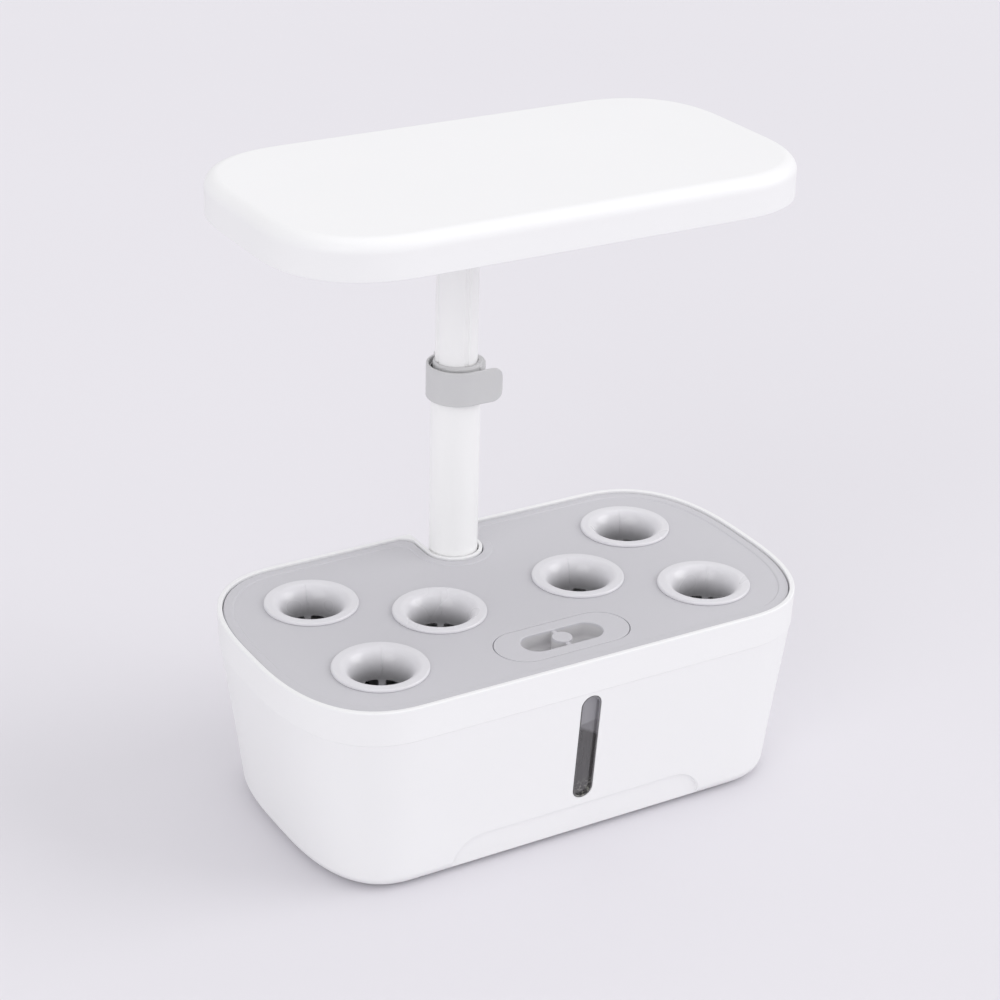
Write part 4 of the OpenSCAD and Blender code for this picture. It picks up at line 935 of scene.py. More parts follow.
# %% Lamp cover
LAMP_W, LAMP_D, LAMP_CORNER = 274.0, 147.0, 56.0
LAMP_ROUND, LAMP_T = 6.5, 2.0


def lamp_outline(inset):
    reach = LAMP_CORNER - inset
    outline = squircle(LAMP_W - 2 * inset, LAMP_D - 2 * inset, reach, reach, LAMP_SQUARENESS)
    return [(x, y + LAMP_Y) for x, y in outline]


def lamp_ring(z, inset):
    return lift(lamp_outline(inset), z)


roof = LAMP_Z + LAMP_H - LAMP_T
inner_round = LAMP_ROUND - LAMP_T
lamp_rings = [lamp_ring(roof - d, LAMP_T + i) for d, i in reversed(quarter(inner_round, 8))]
lamp_rings.append(lamp_ring(LAMP_Z + 0.3, LAMP_T))
lamp_rings.append(lamp_ring(LAMP_Z, LAMP_T - 0.3))
lamp_rings += [lamp_ring(LAMP_Z + d, i) for d, i in reversed(quarter(0.5))]
lamp_rings += [lamp_ring(LAMP_Z + LAMP_H - d, i) for d, i in quarter(LAMP_ROUND, 14)]
hood = finish_mesh(skin("lamp_hood", lamp_rings))
report(hood)

# %% Lamp base and diffuser
LAMP_FLOOR, PLATE = LAMP_Z + 0.8, 2.4
LIGHT_W, LIGHT_D, LIGHT_Y, LIGHT_CORNER = 216.0, 86.0, -2.5, 14.0
BUTTONS = [(42.0, 60.5), (58.0, 60.5)]
BUTTON_HOLE, POST_HOLE = 4.3, 11
LAMP_SCREWS = [(s * 123, LAMP_Y + y) for s in (-1, 1) for y in (-36, 36)]
LAMP_SCREWS += [(s * 46, LAMP_Y + 61.5) for s in (-1, 1)]


def base_plan(inset):
    return lamp_outline(LAMP_T + 0.3 + inset)


def light_plan(inset):
    plan = round_rect(LIGHT_W - 2 * inset, LIGHT_D - 2 * inset, LIGHT_CORNER - inset, 12)
    return [(x, y + LIGHT_Y) for x, y in plan]


def tool_from_below(plan, depth, lip):
    """A tool that cuts the lamp's underside upwards and rounds the edge of the hole."""
    return hole_tool(plan, -LAMP_FLOOR - depth, -LAMP_FLOOR, lip, TURNED_OVER)


def hole_from_below(radius, steps, place, depth, lip):
    return tool_from_below(lambda i: circle(radius - i, steps, place), depth, lip)


underside = slab("lamp_underside", base_plan, LAMP_FLOOR, LAMP_FLOOR + 6, 0.4, 0.2)
tray = prism("tool", base_plan(1.7), LAMP_FLOOR + PLATE, LAMP_FLOOR + 8)
light_seat = prism("tool", light_plan(-2), LAMP_FLOOR + 1, LAMP_FLOOR + 4)
holes = [tool_from_below(light_plan, PLATE + 1, 0.5)]
holes.append(hole_from_below(POST_HOLE, 64, (0, MAST_Y), PLATE + 1, 0.4))
holes += [hole_from_below(BUTTON_HOLE, 48, p, PLATE + 1, 0.35) for p in BUTTONS]
holes += [hole_from_below(HEAD_HOLE, 40, p, HEAD_SUNK, 0.3) for p in LAMP_SCREWS]
holes += [hole_from_below(SHANK_HOLE, 32, p, PLATE + 4, 0) for p in LAMP_SCREWS]
underside = finish_mesh(cut(underside, tray, light_seat, *holes))
report(underside)
diffuser_low = LAMP_FLOOR + 1 + SEAT
diffuser = slab("lamp_diffuser", lambda i: light_plan(i - 1.7), diffuser_low, diffuser_low + 2, 0.2, 0.2)
diffuser = finish_mesh(diffuser)
report(diffuser)
lamp_screws = screw_set("lamp_screw_set", 10, [
    turned((x, y, LAMP_FLOOR + HEAD_SUNK - SEAT), 0.3 + 0.7 * k) for k, (x, y) in enumerate(LAMP_SCREWS)
])

# %% Buttons
BUTTON_R, BUTTON_FLANGE, STEM_R = 4, 5, 1.5
button_low, flange_low, stem_top = LAMP_FLOOR - 1.2, LAMP_FLOOR + PLATE + SEAT, LAMP_FLOOR + 6.2
button_profile = [(0, button_low + 0.25), (2.2, button_low + 0.16), (3.2, button_low)]
button_profile += [(BUTTON_R - i, button_low + d) for d, i in reversed(quarter(0.5))]
button_profile += [(BUTTON_R, flange_low), (BUTTON_FLANGE, flange_low), (BUTTON_FLANGE, flange_low + 0.9)]
button_profile += [(STEM_R, flange_low + 0.9), (STEM_R, stem_top), (0, stem_top)]
buttons = [finish_mesh(lathe(f"button_cap_{k}", button_profile, 48, p)) for k, p in enumerate(BUTTONS, 1)]
for button in buttons:
    report(button)

# %% [markdown]
# ## The pump
# The pump lives on the tank's floor and shows when the deck is lifted off. Its housing is a
# rounded block with an outlet stub, drawn on its side so that the rounding runs round the
# front and the rear edge.

# %% Pump housing
PUMP_X, PUMP_Y, PUMP_Z = -66.0, 50.0, 8.0
PUMP_W, PUMP_D, PUMP_H = 38.0, 26.0, 27.0
OUTLET, AXLE_Z = (PUMP_X - 11, PUMP_Y - 8), 21
CHAMBER_R, ROTOR_R, SHAFT_R = 10.8, 6.2, 1


def pump_side(inset):
    return round_rect(PUMP_W - 2 * inset, PUMP_H - 2 * inset, 4 - inset)


lying = Matrix.Translation((PUMP_X, PUMP_Y, PUMP_Z + PUMP_H / 2)) @ Matrix.Rotation(math.radians(90), 4, "X")
housing = slab("pump_body", pump_side, -PUMP_D / 2, PUMP_D / 2, 1.2, 0.3, lying)
stub_profile = [(0, 34), (4, 34), (4, 38.6), (4.25, 39.1), (4, 39.6), (4, 41.1)]
stub_profile += [(4.25, 41.6), (4, 42.1), (3.7, 43), (0, 43)]
stub = lathe("stub", stub_profile, 48, OUTLET)
axle = Matrix.Translation((PUMP_X, PUMP_Y - PUMP_D / 2, AXLE_Z)) @ Matrix.Rotation(math.radians(-90), 4, "X")
housing = finish_mesh(cut(
    join(housing, stub),
    drill(2.6, AXLE_Z, 45, OUTLET, 32),
    drill(CHAMBER_R, -1, 7.1, matrix=axle),
    drill(ROTOR_R, -1, 21.5, steps=48, matrix=axle),
    drill(SHAFT_R, -1, 24.4, steps=24, matrix=axle),
))
report(housing)

# %% [markdown]
# ## Finishes that several parts share
# Moulded plastic gets its calm look from a fine spark-eroded grain, and paint from a faint
# orange peel. Nothing is ever one flat colour: pigment drifts a little over a large part,
# and dust settles where a face looks up. Each of these effects is a node group with its own
# inputs, built once and placed in every material that needs it. Image textures would tie
# the part to files; noise in object space works at any size.

# %% Node group helpers
def linear(red, green, blue):
    """Colour as it looks on a screen, 0 to 255, as the linear values that shaders use."""
    def one(v):
        v /= 255
        return v / 12.92 if v <= 0.04045 else ((v + 0.055) / 1.055) ** 2.4
    return (one(red), one(green), one(blue), 1)


def new_group(name, inputs, outputs):
    group = bpy.data.node_groups.new(name, "ShaderNodeTree")
    for label, kind, value in inputs:
        socket = group.interface.new_socket(label, in_out="INPUT", socket_type=kind)
        socket.default_value = value
    for label, kind in outputs:
        group.interface.new_socket(label, in_out="OUTPUT", socket_type=kind)
    return group, group.nodes.new("NodeGroupInput"), group.nodes.new("NodeGroupOutput")


def feed(tree, socket, value):
    """Links another node's output into a socket, or writes a plain value on it."""
    if hasattr(value, "default_value"):
        tree.links.new(value, socket)
    else:
        socket.default_value = value


def maths(tree, operation, *values, clamp=False):
    """A Math node whose inputs are sockets or plain numbers; returns its output."""
    node = tree.nodes.new("ShaderNodeMath")
    node.operation = operation
    node.use_clamp = clamp
    for socket, value in zip(node.inputs, values):
        feed(tree, socket, value)
    return node.outputs[0]


def noise(tree, vector, scale, detail, rough):
    """Soft noise from 0 to 1; scale is a plain number or a socket, in clouds per metre."""
    node = tree.nodes.new("ShaderNodeTexNoise")
    node.inputs["Detail"].default_value = detail
    node.inputs["Roughness"].default_value = rough
    tree.links.new(vector, node.inputs["Vector"])
    feed(tree, node.inputs["Scale"], scale)
    return node.outputs["Fac"]


def rise(tree, value, start, steepness):
    """A mask that is 0 up to a start and then climbs to 1 at a steepness."""
    return maths(tree, "MULTIPLY", maths(tree, "SUBTRACT", value, start), steepness, clamp=True)


def object_space(tree, stretch=None):
    """Object coordinates, in metres, optionally stretched along an axis."""
    vector = tree.nodes.new("ShaderNodeTexCoord").outputs["Object"]
    if stretch is None:
        return vector
    mapping = tree.nodes.new("ShaderNodeMapping")
    mapping.inputs["Scale"].default_value = stretch
    tree.links.new(vector, mapping.inputs["Vector"])
    return mapping.outputs["Vector"]


def split_space(tree):
    """Object coordinates as three separate outputs, X, Y and Z."""
    split = tree.nodes.new("ShaderNodeSeparateXYZ")
    tree.links.new(object_space(tree), split.inputs[0])
    return split.outputs


# %% Moulded grain
grain, grain_in, grain_out = new_group(
    "moulded grain", [("Grains per metre", "NodeSocketFloat", 2600.0)],
    [("Height", "NodeSocketFloat"), ("Gloss", "NodeSocketFloat")],
)
density = grain_in.outputs["Grains per metre"]
fine = noise(grain, object_space(grain), density, 2, 0.6)
coarse = noise(grain, object_space(grain), maths(grain, "MULTIPLY", density, 0.12), 1, 0.5)
height = maths(grain, "ADD", maths(grain, "MULTIPLY", fine, 0.7), maths(grain, "MULTIPLY", coarse, 0.3))
grain.links.new(height, grain_out.inputs["Height"])
grain.links.new(coarse, grain_out.inputs["Gloss"])
print("grain group:", [s.name for s in grain.interface.items_tree])

# %% Pigment drift
drift, drift_in, drift_out = new_group(
    "pigment drift",
    [
        ("Colour", "NodeSocketColor", (0.8, 0.8, 0.8, 1)),
        ("Amount", "NodeSocketFloat", 0.03),
        ("Clouds per metre", "NodeSocketFloat", 14.0),
    ],
    [("Colour", "NodeSocketColor")],
)
cloud = noise(drift, object_space(drift), drift_in.outputs["Clouds per metre"], 2, 0.5)
shade = maths(drift, "SUBTRACT", 1.0, maths(drift, "MULTIPLY", cloud, drift_in.outputs["Amount"]))
scale = drift.nodes.new("ShaderNodeVectorMath")
scale.operation = "SCALE"
drift.links.new(drift_in.outputs["Colour"], scale.inputs[0])
drift.links.new(shade, scale.inputs["Scale"])
drift.links.new(scale.outputs["Vector"], drift_out.inputs["Colour"])

# %% Settled dust
dust, dust_in, dust_out = new_group(
    "settled dust", [("Amount", "NodeSocketFloat", 0.1), ("Specks per metre", "NodeSocketFloat", 900.0)],
    [("Cover", "NodeSocketFloat")],
)
facing = dust.nodes.new("ShaderNodeSeparateXYZ")
dust.links.new(dust.nodes.new("ShaderNodeNewGeometry").outputs["Normal"], facing.inputs[0])
upward = maths(dust, "POWER", maths(dust, "MAXIMUM", facing.outputs["Z"], 0.0), 3.0)
speck = noise(dust, object_space(dust), dust_in.outputs["Specks per metre"], 3, 0.7)
film = noise(dust, object_space(dust), 9.0, 2, 0.5)
uneven = maths(dust, "MULTIPLY", maths(dust, "ADD", speck, film), 0.5)
settled = maths(dust, "MULTIPLY", upward, uneven)
cover_mask = maths(dust, "MULTIPLY", settled, dust_in.outputs["Amount"], clamp=True)
dust.links.new(cover_mask, dust_out.inputs["Cover"])

# %% [markdown]
# ## Plastics
# The shell, the deck, the cap and the clamp are all moulded plastics that differ in pigment,
# gloss and grain, so one recipe makes them all. The shader keeps its plain numbers on its
# own sockets, and the groups only feed what changes over the surface.

# %% Moulded plastic recipe
def place_group(tree, group, **values):
    node = tree.nodes.new("ShaderNodeGroup")
    node.node_tree = group
    for label, value in values.items():
        node.inputs[label.replace("_", " ")].default_value = value
    return node


def blank_material(name):
    material = bpy.data.materials.new(name)
    material.use_nodes = True
    shader = material.node_tree.nodes["Principled BSDF"]
    return material, material.node_tree, shader


def mix_colour(tree, factor, first, second):
    node = tree.nodes.new("ShaderNodeMix")
    node.data_type = "RGBA"
    for label, value in (("Factor", factor), ("A", first), ("B", second)):
        feed(tree, node.inputs[label], value)
    return node.outputs["Result"]


def polish(shader, weight, roughness):
    """A clear coat over the whole surface."""
    shader.inputs["Coat Weight"].default_value = weight
    shader.inputs["Coat Roughness"].default_value = roughness


def roughen(tree, shader, base, swing, source):
    """Roughness that swings about a base value with a source from 0 to 1."""
    value = maths(tree, "ADD", base - swing / 2, maths(tree, "MULTIPLY", source, swing))
    tree.links.new(value, shader.inputs["Roughness"])


def bump(tree, shader, height, depth_mm, strength=1.0):
    """Fine relief that is too small to model, with its depth in millimetres."""
    node = tree.nodes.new("ShaderNodeBump")
    node.inputs["Strength"].default_value = strength
    node.inputs["Distance"].default_value = depth_mm * MM
    tree.links.new(height, node.inputs["Height"])
    tree.links.new(node.outputs["Normal"], shader.inputs["Normal"])


DUST_COLOUR = linear(214, 213, 210)


def moulded(name, colour, gloss, grain_scale=2600, grain_mm=0.012, amount=0.03, dusty=0.10):
    material, tree, shader = blank_material(name)
    texture = place_group(tree, grain, Grains_per_metre=grain_scale)
    pigment = place_group(tree, drift, Colour=colour, Amount=amount)
    film = place_group(tree, dust, Amount=dusty)
    dusted = mix_colour(tree, film.outputs["Cover"], pigment.outputs["Colour"], DUST_COLOUR)
    tree.links.new(dusted, shader.inputs["Base Color"])
    roughen(tree, shader, gloss, 0.12, texture.outputs["Gloss"])
    bump(tree, shader, texture.outputs["Height"], grain_mm)
    return material


white_shell = moulded("white shell", linear(240, 240, 241), 0.44, amount=0.02, dusty=0.06)
deck_grey = moulded("deck grey", linear(201, 200, 205), 0.5, 3200, 0.014)
cap_grey = moulded("cap grey", linear(202, 201, 206), 0.42, 3200, 0.010)
clamp_grey = moulded("clamp grey", linear(207, 207, 208), 0.48, 3000, 0.012)
hidden_grey = moulded("bracket grey", linear(190, 190, 193), 0.55, 2200, 0.015)
black_plastic = moulded("black plastic", linear(40, 40, 42), 0.5, 2400, 0.015, amount=0.15, dusty=0.03)
plastics = (white_shell, deck_grey, cap_grey, clamp_grey, hidden_grey, black_plastic)
print("plastics:", [material.name for material in plastics])

# %% [markdown]
# Light is painted into the recess of the cap, which would otherwise lie too deep in shade: below its edge
# the same grey is made a little paler. The mask is a height, so it needs no second material.

# %% Painted light in the recess of the cap
PAINTED_LIGHT_BELOW = 0.9
tree = cap_grey.node_tree
shader = tree.nodes["Principled BSDF"]
# painted light: a paler grey below the edge of the recess
recess_light = rise(tree, (FIELD_Z - PAINTED_LIGHT_BELOW) * MM, split_space(tree)["Z"], 900)
cap_pigment = shader.inputs["Base Color"].links[0].from_socket
tree.links.new(mix_colour(tree, recess_light, cap_pigment, linear(205, 204, 206)), shader.inputs["Base Color"])

# %% [markdown]
# ## Finish of the baskets
# The baskets are the palest plastic and the glossiest, because their mould is polished. Shade is
# painted into the bell: the grey gets darker from the flange down to the throat, where little light reaches.

# %% Basket grey with painted shade in the throat
THROAT_SHADE_REACH, THROAT_SHADE = 17, 0.6
pale_grey, tree, shader = blank_material("basket grey")
height = split_space(tree)["Z"]
texture = place_group(tree, grain, Grains_per_metre=400)
pigment = place_group(tree, drift, Colour=linear(223, 222, 226), Amount=0.02)
sunk = rise(tree, FIELD_Z * MM, height, 85)
above_cage = rise(tree, height, (FIELD_Z - THROAT_SHADE_REACH) * MM, 250)
# painted shade: darker from the deck's level down into the throat
throat_shade = maths(tree, "MULTIPLY", maths(tree, "MULTIPLY", sunk, above_cage), THROAT_SHADE)
colour = mix_colour(tree, throat_shade, pigment.outputs["Colour"], linear(104, 104, 104))
tree.links.new(colour, shader.inputs["Base Color"])
roughen(tree, shader, 0.28, 0.04, texture.outputs["Gloss"])
polish(shader, 0.3, 0.18)

# %% [markdown]
# ## Painted tube, rubber and steel
# The tubes are drawn metal under white paint, so faint lines run along them below a slight
# orange peel. Rubber is nearly black, dull and a little blotchy. Plated screws are metal all
# through, with fine turning marks round the head.

# %% Painted tube
painted_tube, tree, shader = blank_material("painted tube")
peel = place_group(tree, grain, Grains_per_metre=650)
pigment = place_group(tree, drift, Colour=linear(249, 249, 249), Amount=0.02)
draw_lines = noise(tree, object_space(tree, (1, 1, 0.02)), 900, 2, 0.6)
tree.links.new(pigment.outputs["Colour"], shader.inputs["Base Color"])
roughen(tree, shader, 0.34, 0.1, draw_lines)
peel_height = maths(tree, "MULTIPLY", peel.outputs["Height"], 0.8)
bump(tree, shader, maths(tree, "ADD", peel_height, maths(tree, "MULTIPLY", draw_lines, 0.25)), 0.02)
polish(shader, 0.3, 0.2)

# %% Rubber
rubber, tree, shader = blank_material("rubber")
pores = place_group(tree, grain, Grains_per_metre=1500)
pigment = place_group(tree, drift, Colour=linear(38, 38, 40), Amount=0.25, Clouds_per_metre=60)
bloom = place_group(tree, dust, Amount=0.12)
colour = mix_colour(tree, bloom.outputs["Cover"], pigment.outputs["Colour"], DUST_COLOUR)
tree.links.new(colour, shader.inputs["Base Color"])
roughen(tree, shader, 0.78, 0.16, pores.outputs["Gloss"])
bump(tree, shader, pores.outputs["Height"], 0.03)

# %% Plated steel
plated_steel, tree, shader = blank_material("plated steel")
turning = noise(tree, object_space(tree, (1, 1, 6)), 2200, 3, 0.6)
pigment = place_group(tree, drift, Colour=linear(203, 203, 206), Amount=0.12, Clouds_per_metre=160)
tree.links.new(pigment.outputs["Colour"], shader.inputs["Base Color"])
roughen(tree, shader, 0.3, 0.22, turning)
bump(tree, shader, turning, 0.008)
shader.inputs["Metallic"].default_value = 1.0

# %% [markdown]
# ## Level window
# The window is a smoky clear moulding with water behind it. Real transparency would show a
# black hole, because the closed tank lets no light in, so light and shade are painted into its
# colour: above the water line a painted lighter grey stands for the lit inner wall shining
# through, painted darker towards the right where it lies in shade; below it the tone is a
# painted darker shade, with painted upright streaks where the light bends in the wet plastic,
# a painted reflection under the water's edge and painted glints near the foot. A clear coat
# on top gives the polished face.

# %% Smoky window
WATER_LINE, WATER_TILT, RIPPLE_H = 0.0668, 0.12, 0.0016
MIRROR_DROP, MIRROR_SAG = 0.0012, 0.0075
GLINT_TOP = 0.0345
smoky_window, tree, shader = blank_material("smoky window")
place = split_space(tree)
across = maths(tree, "DIVIDE", place["X"], (WINDOW_W - 0.5) * MM)
from_left = maths(tree, "ADD", across, 0.5, clamp=True)
ripple = noise(tree, object_space(tree, (1, 1, 0.25)), 260, 2, 0.5)
streaks = noise(tree, object_space(tree, (1, 1, 0.03)), 700, 3, 0.65)
swirl = noise(tree, object_space(tree, (1.0, 1.0, 1.6)), 420, 3, 0.7)

# Height in the window, with the tilt and the ripple of the water's edge
level = maths(tree, "SUBTRACT", place["Z"], maths(tree, "MULTIPLY", place["X"], WATER_TILT))
level = maths(tree, "ADD", level, maths(tree, "MULTIPLY", maths(tree, "SUBTRACT", ripple, 0.5), RIPPLE_H))
sag = maths(tree, "SUBTRACT", WATER_LINE - MIRROR_DROP, maths(tree, "MULTIPLY", from_left, MIRROR_SAG))

# The dry part in painted light, the painted reflection under the water's edge, and the wet part in painted
# shade with painted streaks of bent light
painted_wet_light_and_shade = mix_colour(tree, streaks, linear(40, 39, 40), linear(76, 74, 75))
below = mix_colour(tree, rise(tree, level, sag, 500), painted_wet_light_and_shade, linear(112, 111, 115))
painted_dry_light = mix_colour(tree, from_left, linear(146, 145, 149), linear(122, 121, 126))
body_colour = mix_colour(tree, rise(tree, level, WATER_LINE, 900), below, painted_dry_light)

# Small glints near the foot
foot = rise(tree, GLINT_TOP, place["Z"], 90)
glints = maths(tree, "MULTIPLY", foot, rise(tree, swirl, 0.5, 6))
body_colour = mix_colour(tree, glints, body_colour, linear(168, 168, 160))

# A painted shade line round the pocket's edge, where the step lies in shade, from the distance to the slot's
# middle line
run_z = maths(tree, "ABSOLUTE", maths(tree, "SUBTRACT", place["Z"], WINDOW_Z * MM))
run_z = maths(tree, "MAXIMUM", maths(tree, "SUBTRACT", run_z, (WINDOW_LEN - WINDOW_W) / 2 * MM), 0)
squares = maths(tree, "ADD", maths(tree, "POWER", place["X"], 2), maths(tree, "POWER", run_z, 2))
painted_edge_shade = rise(tree, maths(tree, "SQRT", squares), (WINDOW_W / 2 - 0.9) * MM, 1600)
tree.links.new(mix_colour(tree, painted_edge_shade, body_colour, linear(72, 71, 73)), shader.inputs["Base Color"])
roughen(tree, shader, 0.14, 0.08, streaks)
bump(tree, shader, ripple, 0.05, 0.5)
polish(shader, 1.0, 0.04)

# %% [markdown]
# ## Lamp parts
# The diffuser is opal with a fine prism pattern pressed into it. Behind it sit a white
# circuit board and small light sources, and near the rear edge the green control board with
# its tracks under the solder mask. Bricks and dots are close enough for the tracks and the
# plated holes, which only show when the lamp is opened.

# %% Opal diffuser, boards and light sources
opal, tree, shader = blank_material("opal diffuser")
prisms = tree.nodes.new("ShaderNodeTexVoronoi")
prisms.inputs["Scale"].default_value = 520
tree.links.new(object_space(tree), prisms.inputs["Vector"])
pigment = place_group(tree, drift, Colour=linear(238, 238, 234), Amount=0.03, Clouds_per_metre=22)
tree.links.new(pigment.outputs["Colour"], shader.inputs["Base Color"])
roughen(tree, shader, 0.3, 0.15, prisms.outputs["Distance"])
bump(tree, shader, prisms.outputs["Distance"], 0.12)


def circuit_board(name, mask_dark, mask_light, metal):
    """Solder mask over tracks: brick lines for the tracks, dots for the plated holes."""
    material, tree, shader = blank_material(name)
    tracks = tree.nodes.new("ShaderNodeTexBrick")
    tracks.offset = 0.37
    tracks.inputs["Scale"].default_value = 190
    tracks.inputs["Mortar Size"].default_value = 0.09
    tracks.inputs["Color1"].default_value = mask_dark
    tracks.inputs["Color2"].default_value = mask_dark
    tracks.inputs["Mortar"].default_value = mask_light
    tree.links.new(object_space(tree), tracks.inputs["Vector"])
    dots = tree.nodes.new("ShaderNodeTexVoronoi")
    dots.inputs["Scale"].default_value = 230
    tree.links.new(object_space(tree), dots.inputs["Vector"])
    hole = rise(tree, 0.2, dots.outputs["Distance"], 30)
    tree.links.new(mix_colour(tree, hole, tracks.outputs["Color"], metal), shader.inputs["Base Color"])
    roughen(tree, shader, 0.35, 0.12, dots.outputs["Distance"])
    bump(tree, shader, tracks.outputs["Fac"], 0.03)
    return material


green_board = circuit_board("green board", linear(24, 84, 52), linear(40, 112, 70), linear(196, 180, 130))
white_board = circuit_board(
    "white board", linear(232, 232, 232), linear(222, 222, 222), linear(205, 200, 185),
)


def light_source(name, lens_colour, chip_colour):
    material, tree, shader = blank_material(name)
    centre = noise(tree, object_space(tree), 420, 1, 0.4)
    tree.links.new(mix_colour(tree, centre, lens_colour, chip_colour), shader.inputs["Base Color"])
    roughen(tree, shader, 0.2, 0.1, centre)
    shader.inputs["Coat Weight"].default_value = 0.6
    return material


warm_source = light_source("warm source", linear(250, 226, 150), linear(235, 190, 80))
red_source = light_source("red source", linear(226, 84, 66), linear(180, 40, 34))

# %% [markdown]
# ## Put the finishes on and hand every piece to its body
# Each new piece stands for one CAD node and moves with that node's body. The parts that
# nobody sees, inside the bay, the mast and the lamp, keep their exact CAD shape and only get
# their finish.

# %% Pieces, bodies and finishes
def dress(piece, node, body, material):
    """Gives a piece its finish, and puts it in the place of a CAD node on that node's body."""
    piece.data.materials.clear()
    piece.data.materials.append(material)
    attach(piece, body)
    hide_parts(node)


dress(tank, "tank", "base", white_shell)
dress(feet, "feet", "base", rubber)
dress(lens, "level_window", "base", smoky_window)
dress(cover, "rear_cover", "base", white_shell)
dress(cover_screws, "cover_screws", "base", plated_steel)
dress(socket_screws, "socket_screws", "base", plated_steel)
dress(lower, "lower_tube", "base", painted_tube)
dress(collar, "clamp_collar", "base", clamp_grey)
dress(lever, "clamp_lever", "lever", clamp_grey)
dress(housing, "pump_housing", "base", black_plastic)
dress(deck, "grow_deck", "deck", deck_grey)
dress(cap, "fill_cap", "cap", cap_grey)
for number, basket in enumerate(baskets, 1):
    dress(basket, f"basket_{number}", f"basket_{number}", pale_grey)
dress(upper, "upper_tube", "mast", painted_tube)
dress(hood, "lamp_cover", "mast", white_shell)
dress(underside, "lamp_base", "mast", white_shell)
dress(diffuser, "diffuser", "mast", opal)
dress(lamp_screws, "lamp_screws", "mast", plated_steel)
dress(buttons[0], "light_button", "light_button", clamp_grey)
dress(buttons[1], "pump_button", "pump_button", clamp_grey)

KEPT = {
    rubber: ("window_gasket", "suction_cups", "pump_lead", "lead_grommet"),
    black_plastic: ("power_inlet", "clamp_liner", "pump_intake", "pump_impeller", "push_switches"),
    plated_steel: (
        "board_screws", "tube_screw", "clamp_pin", "pump_shaft",
        "lamp_board_screws", "bracket_screws", "mast_screw",
    ),
    hidden_grey: ("mast_socket", "tube_glide", "mast_bracket"),
    green_board: ("power_board", "control_board"),
    white_board: ("led_board",),
    warm_source: ("led_white",),
    red_source: ("led_red",),
}
for material, names in KEPT.items():
    for name in names:
        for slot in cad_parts[name].material_slots:
            slot.material = material
print("kept CAD nodes:", sum(len(names) for names in KEPT.values()))

# %% [markdown]
# ## Stretch lead
# The lead inside the mast is a stretch cord. Its foot stays in the socket and its head goes
# up and down with the lamp; here it is modelled at rest and attached to neither body. The
# ribs of its coils are a stack of circles that are large and small in turn.

# %% Stretch lead inside the mast
LEAD_FOOT, LEAD_TOP, LEAD_R, LEAD_PITCH, RIB_DEPTH = 22.45, 314.75, 5.75, 2.5, 0.8
rib_count = int((LEAD_TOP - LEAD_FOOT) / LEAD_PITCH)
lead_rings = []
for k in range(rib_count + 1):
    height = LEAD_FOOT + (LEAD_TOP - LEAD_FOOT) * k / rib_count
    lead_rings.append(lift(circle(LEAD_R - RIB_DEPTH * (k % 2), 24, (0, MAST_Y)), height))
lead = finish_mesh(skin("stretch_lead", lead_rings))
lead.data.materials.append(rubber)
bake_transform(lead)
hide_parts("mast_lead")
report(lead)

# %% [markdown]
# ## Floor, light and camera
# The object stands on a plain pale floor that runs out of the picture, so there is no
# horizon. A broad, even sky gives more than half of the light. Two wide soft lamps, one on
# the right and a weaker one on the left, shape the white surfaces without burning them out,
# and a faint third one overhead settles the shadow under the object. The lamps are far away,
# so the floor stays evenly bright, and their wide angle keeps the edge of the shadow soft.

# %% Floor and world
FLOOR_REACH = 6000
floor_corners = [(x * FLOOR_REACH, y * FLOOR_REACH, 0) for x, y in ((-1, -1), (1, -1), (1, 1), (-1, 1))]
floor = make_piece("floor", floor_corners, [(0, 1, 2, 3)])
floor_material, tree, shader = blank_material("pale floor")
cloud = noise(tree, object_space(tree), 1.4, 2, 0.5)
colour = mix_colour(tree, cloud, linear(223, 221, 226), linear(226, 224, 229))
tree.links.new(colour, shader.inputs["Base Color"])
shader.inputs["Roughness"].default_value = 0.6
shader.inputs["Specular IOR Level"].default_value = 0.05
floor.data.materials.append(floor_material)

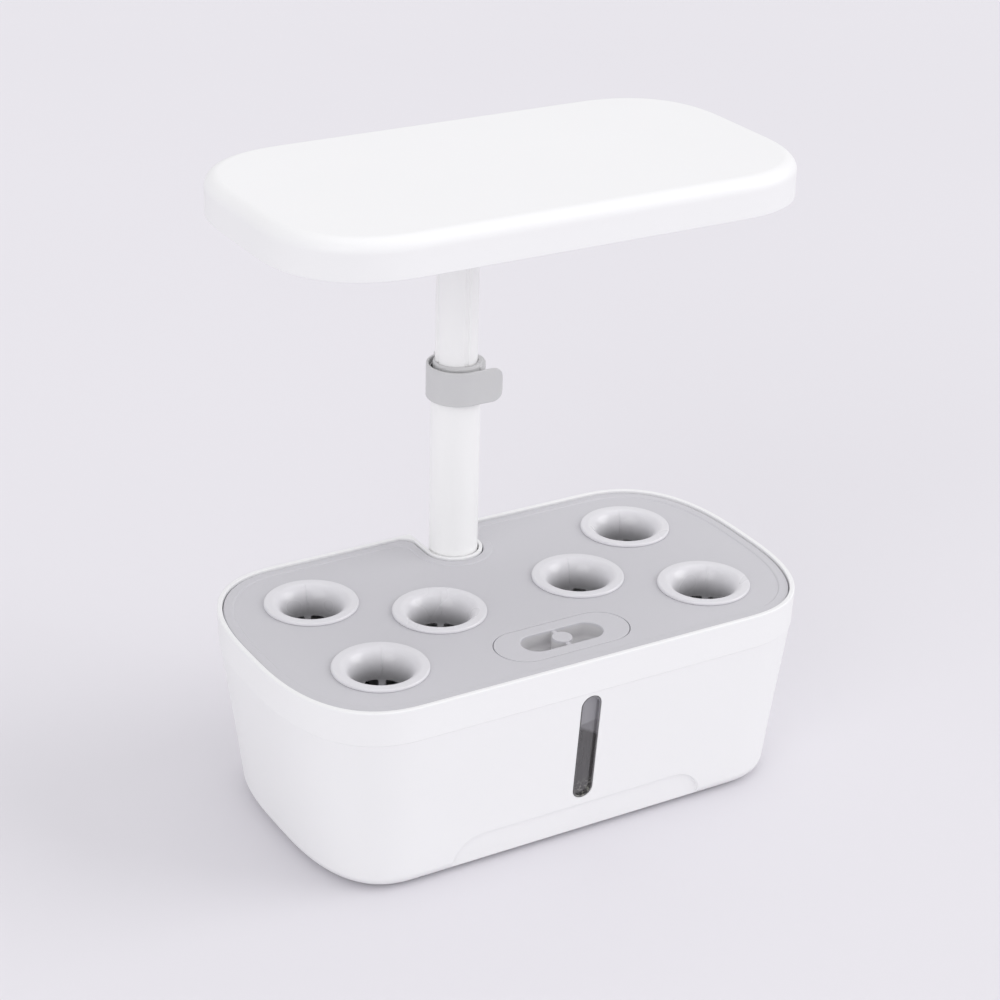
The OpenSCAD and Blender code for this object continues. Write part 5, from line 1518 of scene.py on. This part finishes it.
world = bpy.data.worlds.new("studio")
world.use_nodes = True
sky = world.node_tree.nodes["Background"]
sky.inputs["Color"].default_value = (0.99, 0.985, 1.0, 1)
sky.inputs["Strength"].default_value = 0.74
bpy.context.scene.world = world


# %% Lamps
def soft_lamp(name, heading, height, wide, level):
    """A distant soft lamp; heading turns from the front to the right, and `level` is the
    share of full brightness that it gives to a face turned straight to it."""
    data = bpy.data.lights.new(name, "SUN")
    data.angle = math.radians(wide)
    data.energy = level * math.pi
    lamp = bpy.data.objects.new(name, data)
    turn, rise = math.radians(heading), math.radians(height)
    away = Vector((math.sin(turn) * math.cos(rise), -math.cos(turn) * math.cos(rise), math.sin(rise)))
    lamp.rotation_euler = away.to_track_quat("Z", "Y").to_euler()
    bpy.context.scene.collection.objects.link(lamp)
    return lamp


soft_lamp("softbox on the right", 62, 28, 42, 0.31)
soft_lamp("softbox on the left", -54, 22, 46, 0.225)
soft_lamp("overhead softbox", 120, 80, 50, 0.13)

# %% [markdown]
# ## Camera
# The picture is taken from the front left, about 25 degrees above the table, with a long
# lens. The camera's axes are built from its heading, its tilt and a small roll.

# %% Camera
HEADING, TILT, ROLL = math.radians(-31.0), math.radians(25.463), math.radians(1.51)
CAMERA_AT = (-0.56348, -0.93010, 0.66933)
camera_data = bpy.data.cameras.new("camera")
camera_data.sensor_width = 36
camera_data.lens = 88.48
camera_data.clip_end = 50
camera = bpy.data.objects.new("camera", camera_data)
bpy.context.scene.collection.objects.link(camera)
ahead = Vector((-math.sin(HEADING) * math.cos(TILT), math.cos(HEADING) * math.cos(TILT), -math.sin(TILT)))
right = ahead.cross(Vector((0, 0, 1))).normalized()
above_view = right.cross(ahead)
x_axis = right * math.cos(ROLL) + above_view * math.sin(ROLL)
y_axis = above_view * math.cos(ROLL) - right * math.sin(ROLL)
axes = Matrix((x_axis, y_axis, -ahead)).transposed().to_4x4()
camera.matrix_world = Matrix.Translation(CAMERA_AT) @ axes
bpy.context.scene.camera = camera
bpy.context.scene.view_settings.view_transform = "Standard"
print("camera at", [round(v, 3) for v in camera.location])
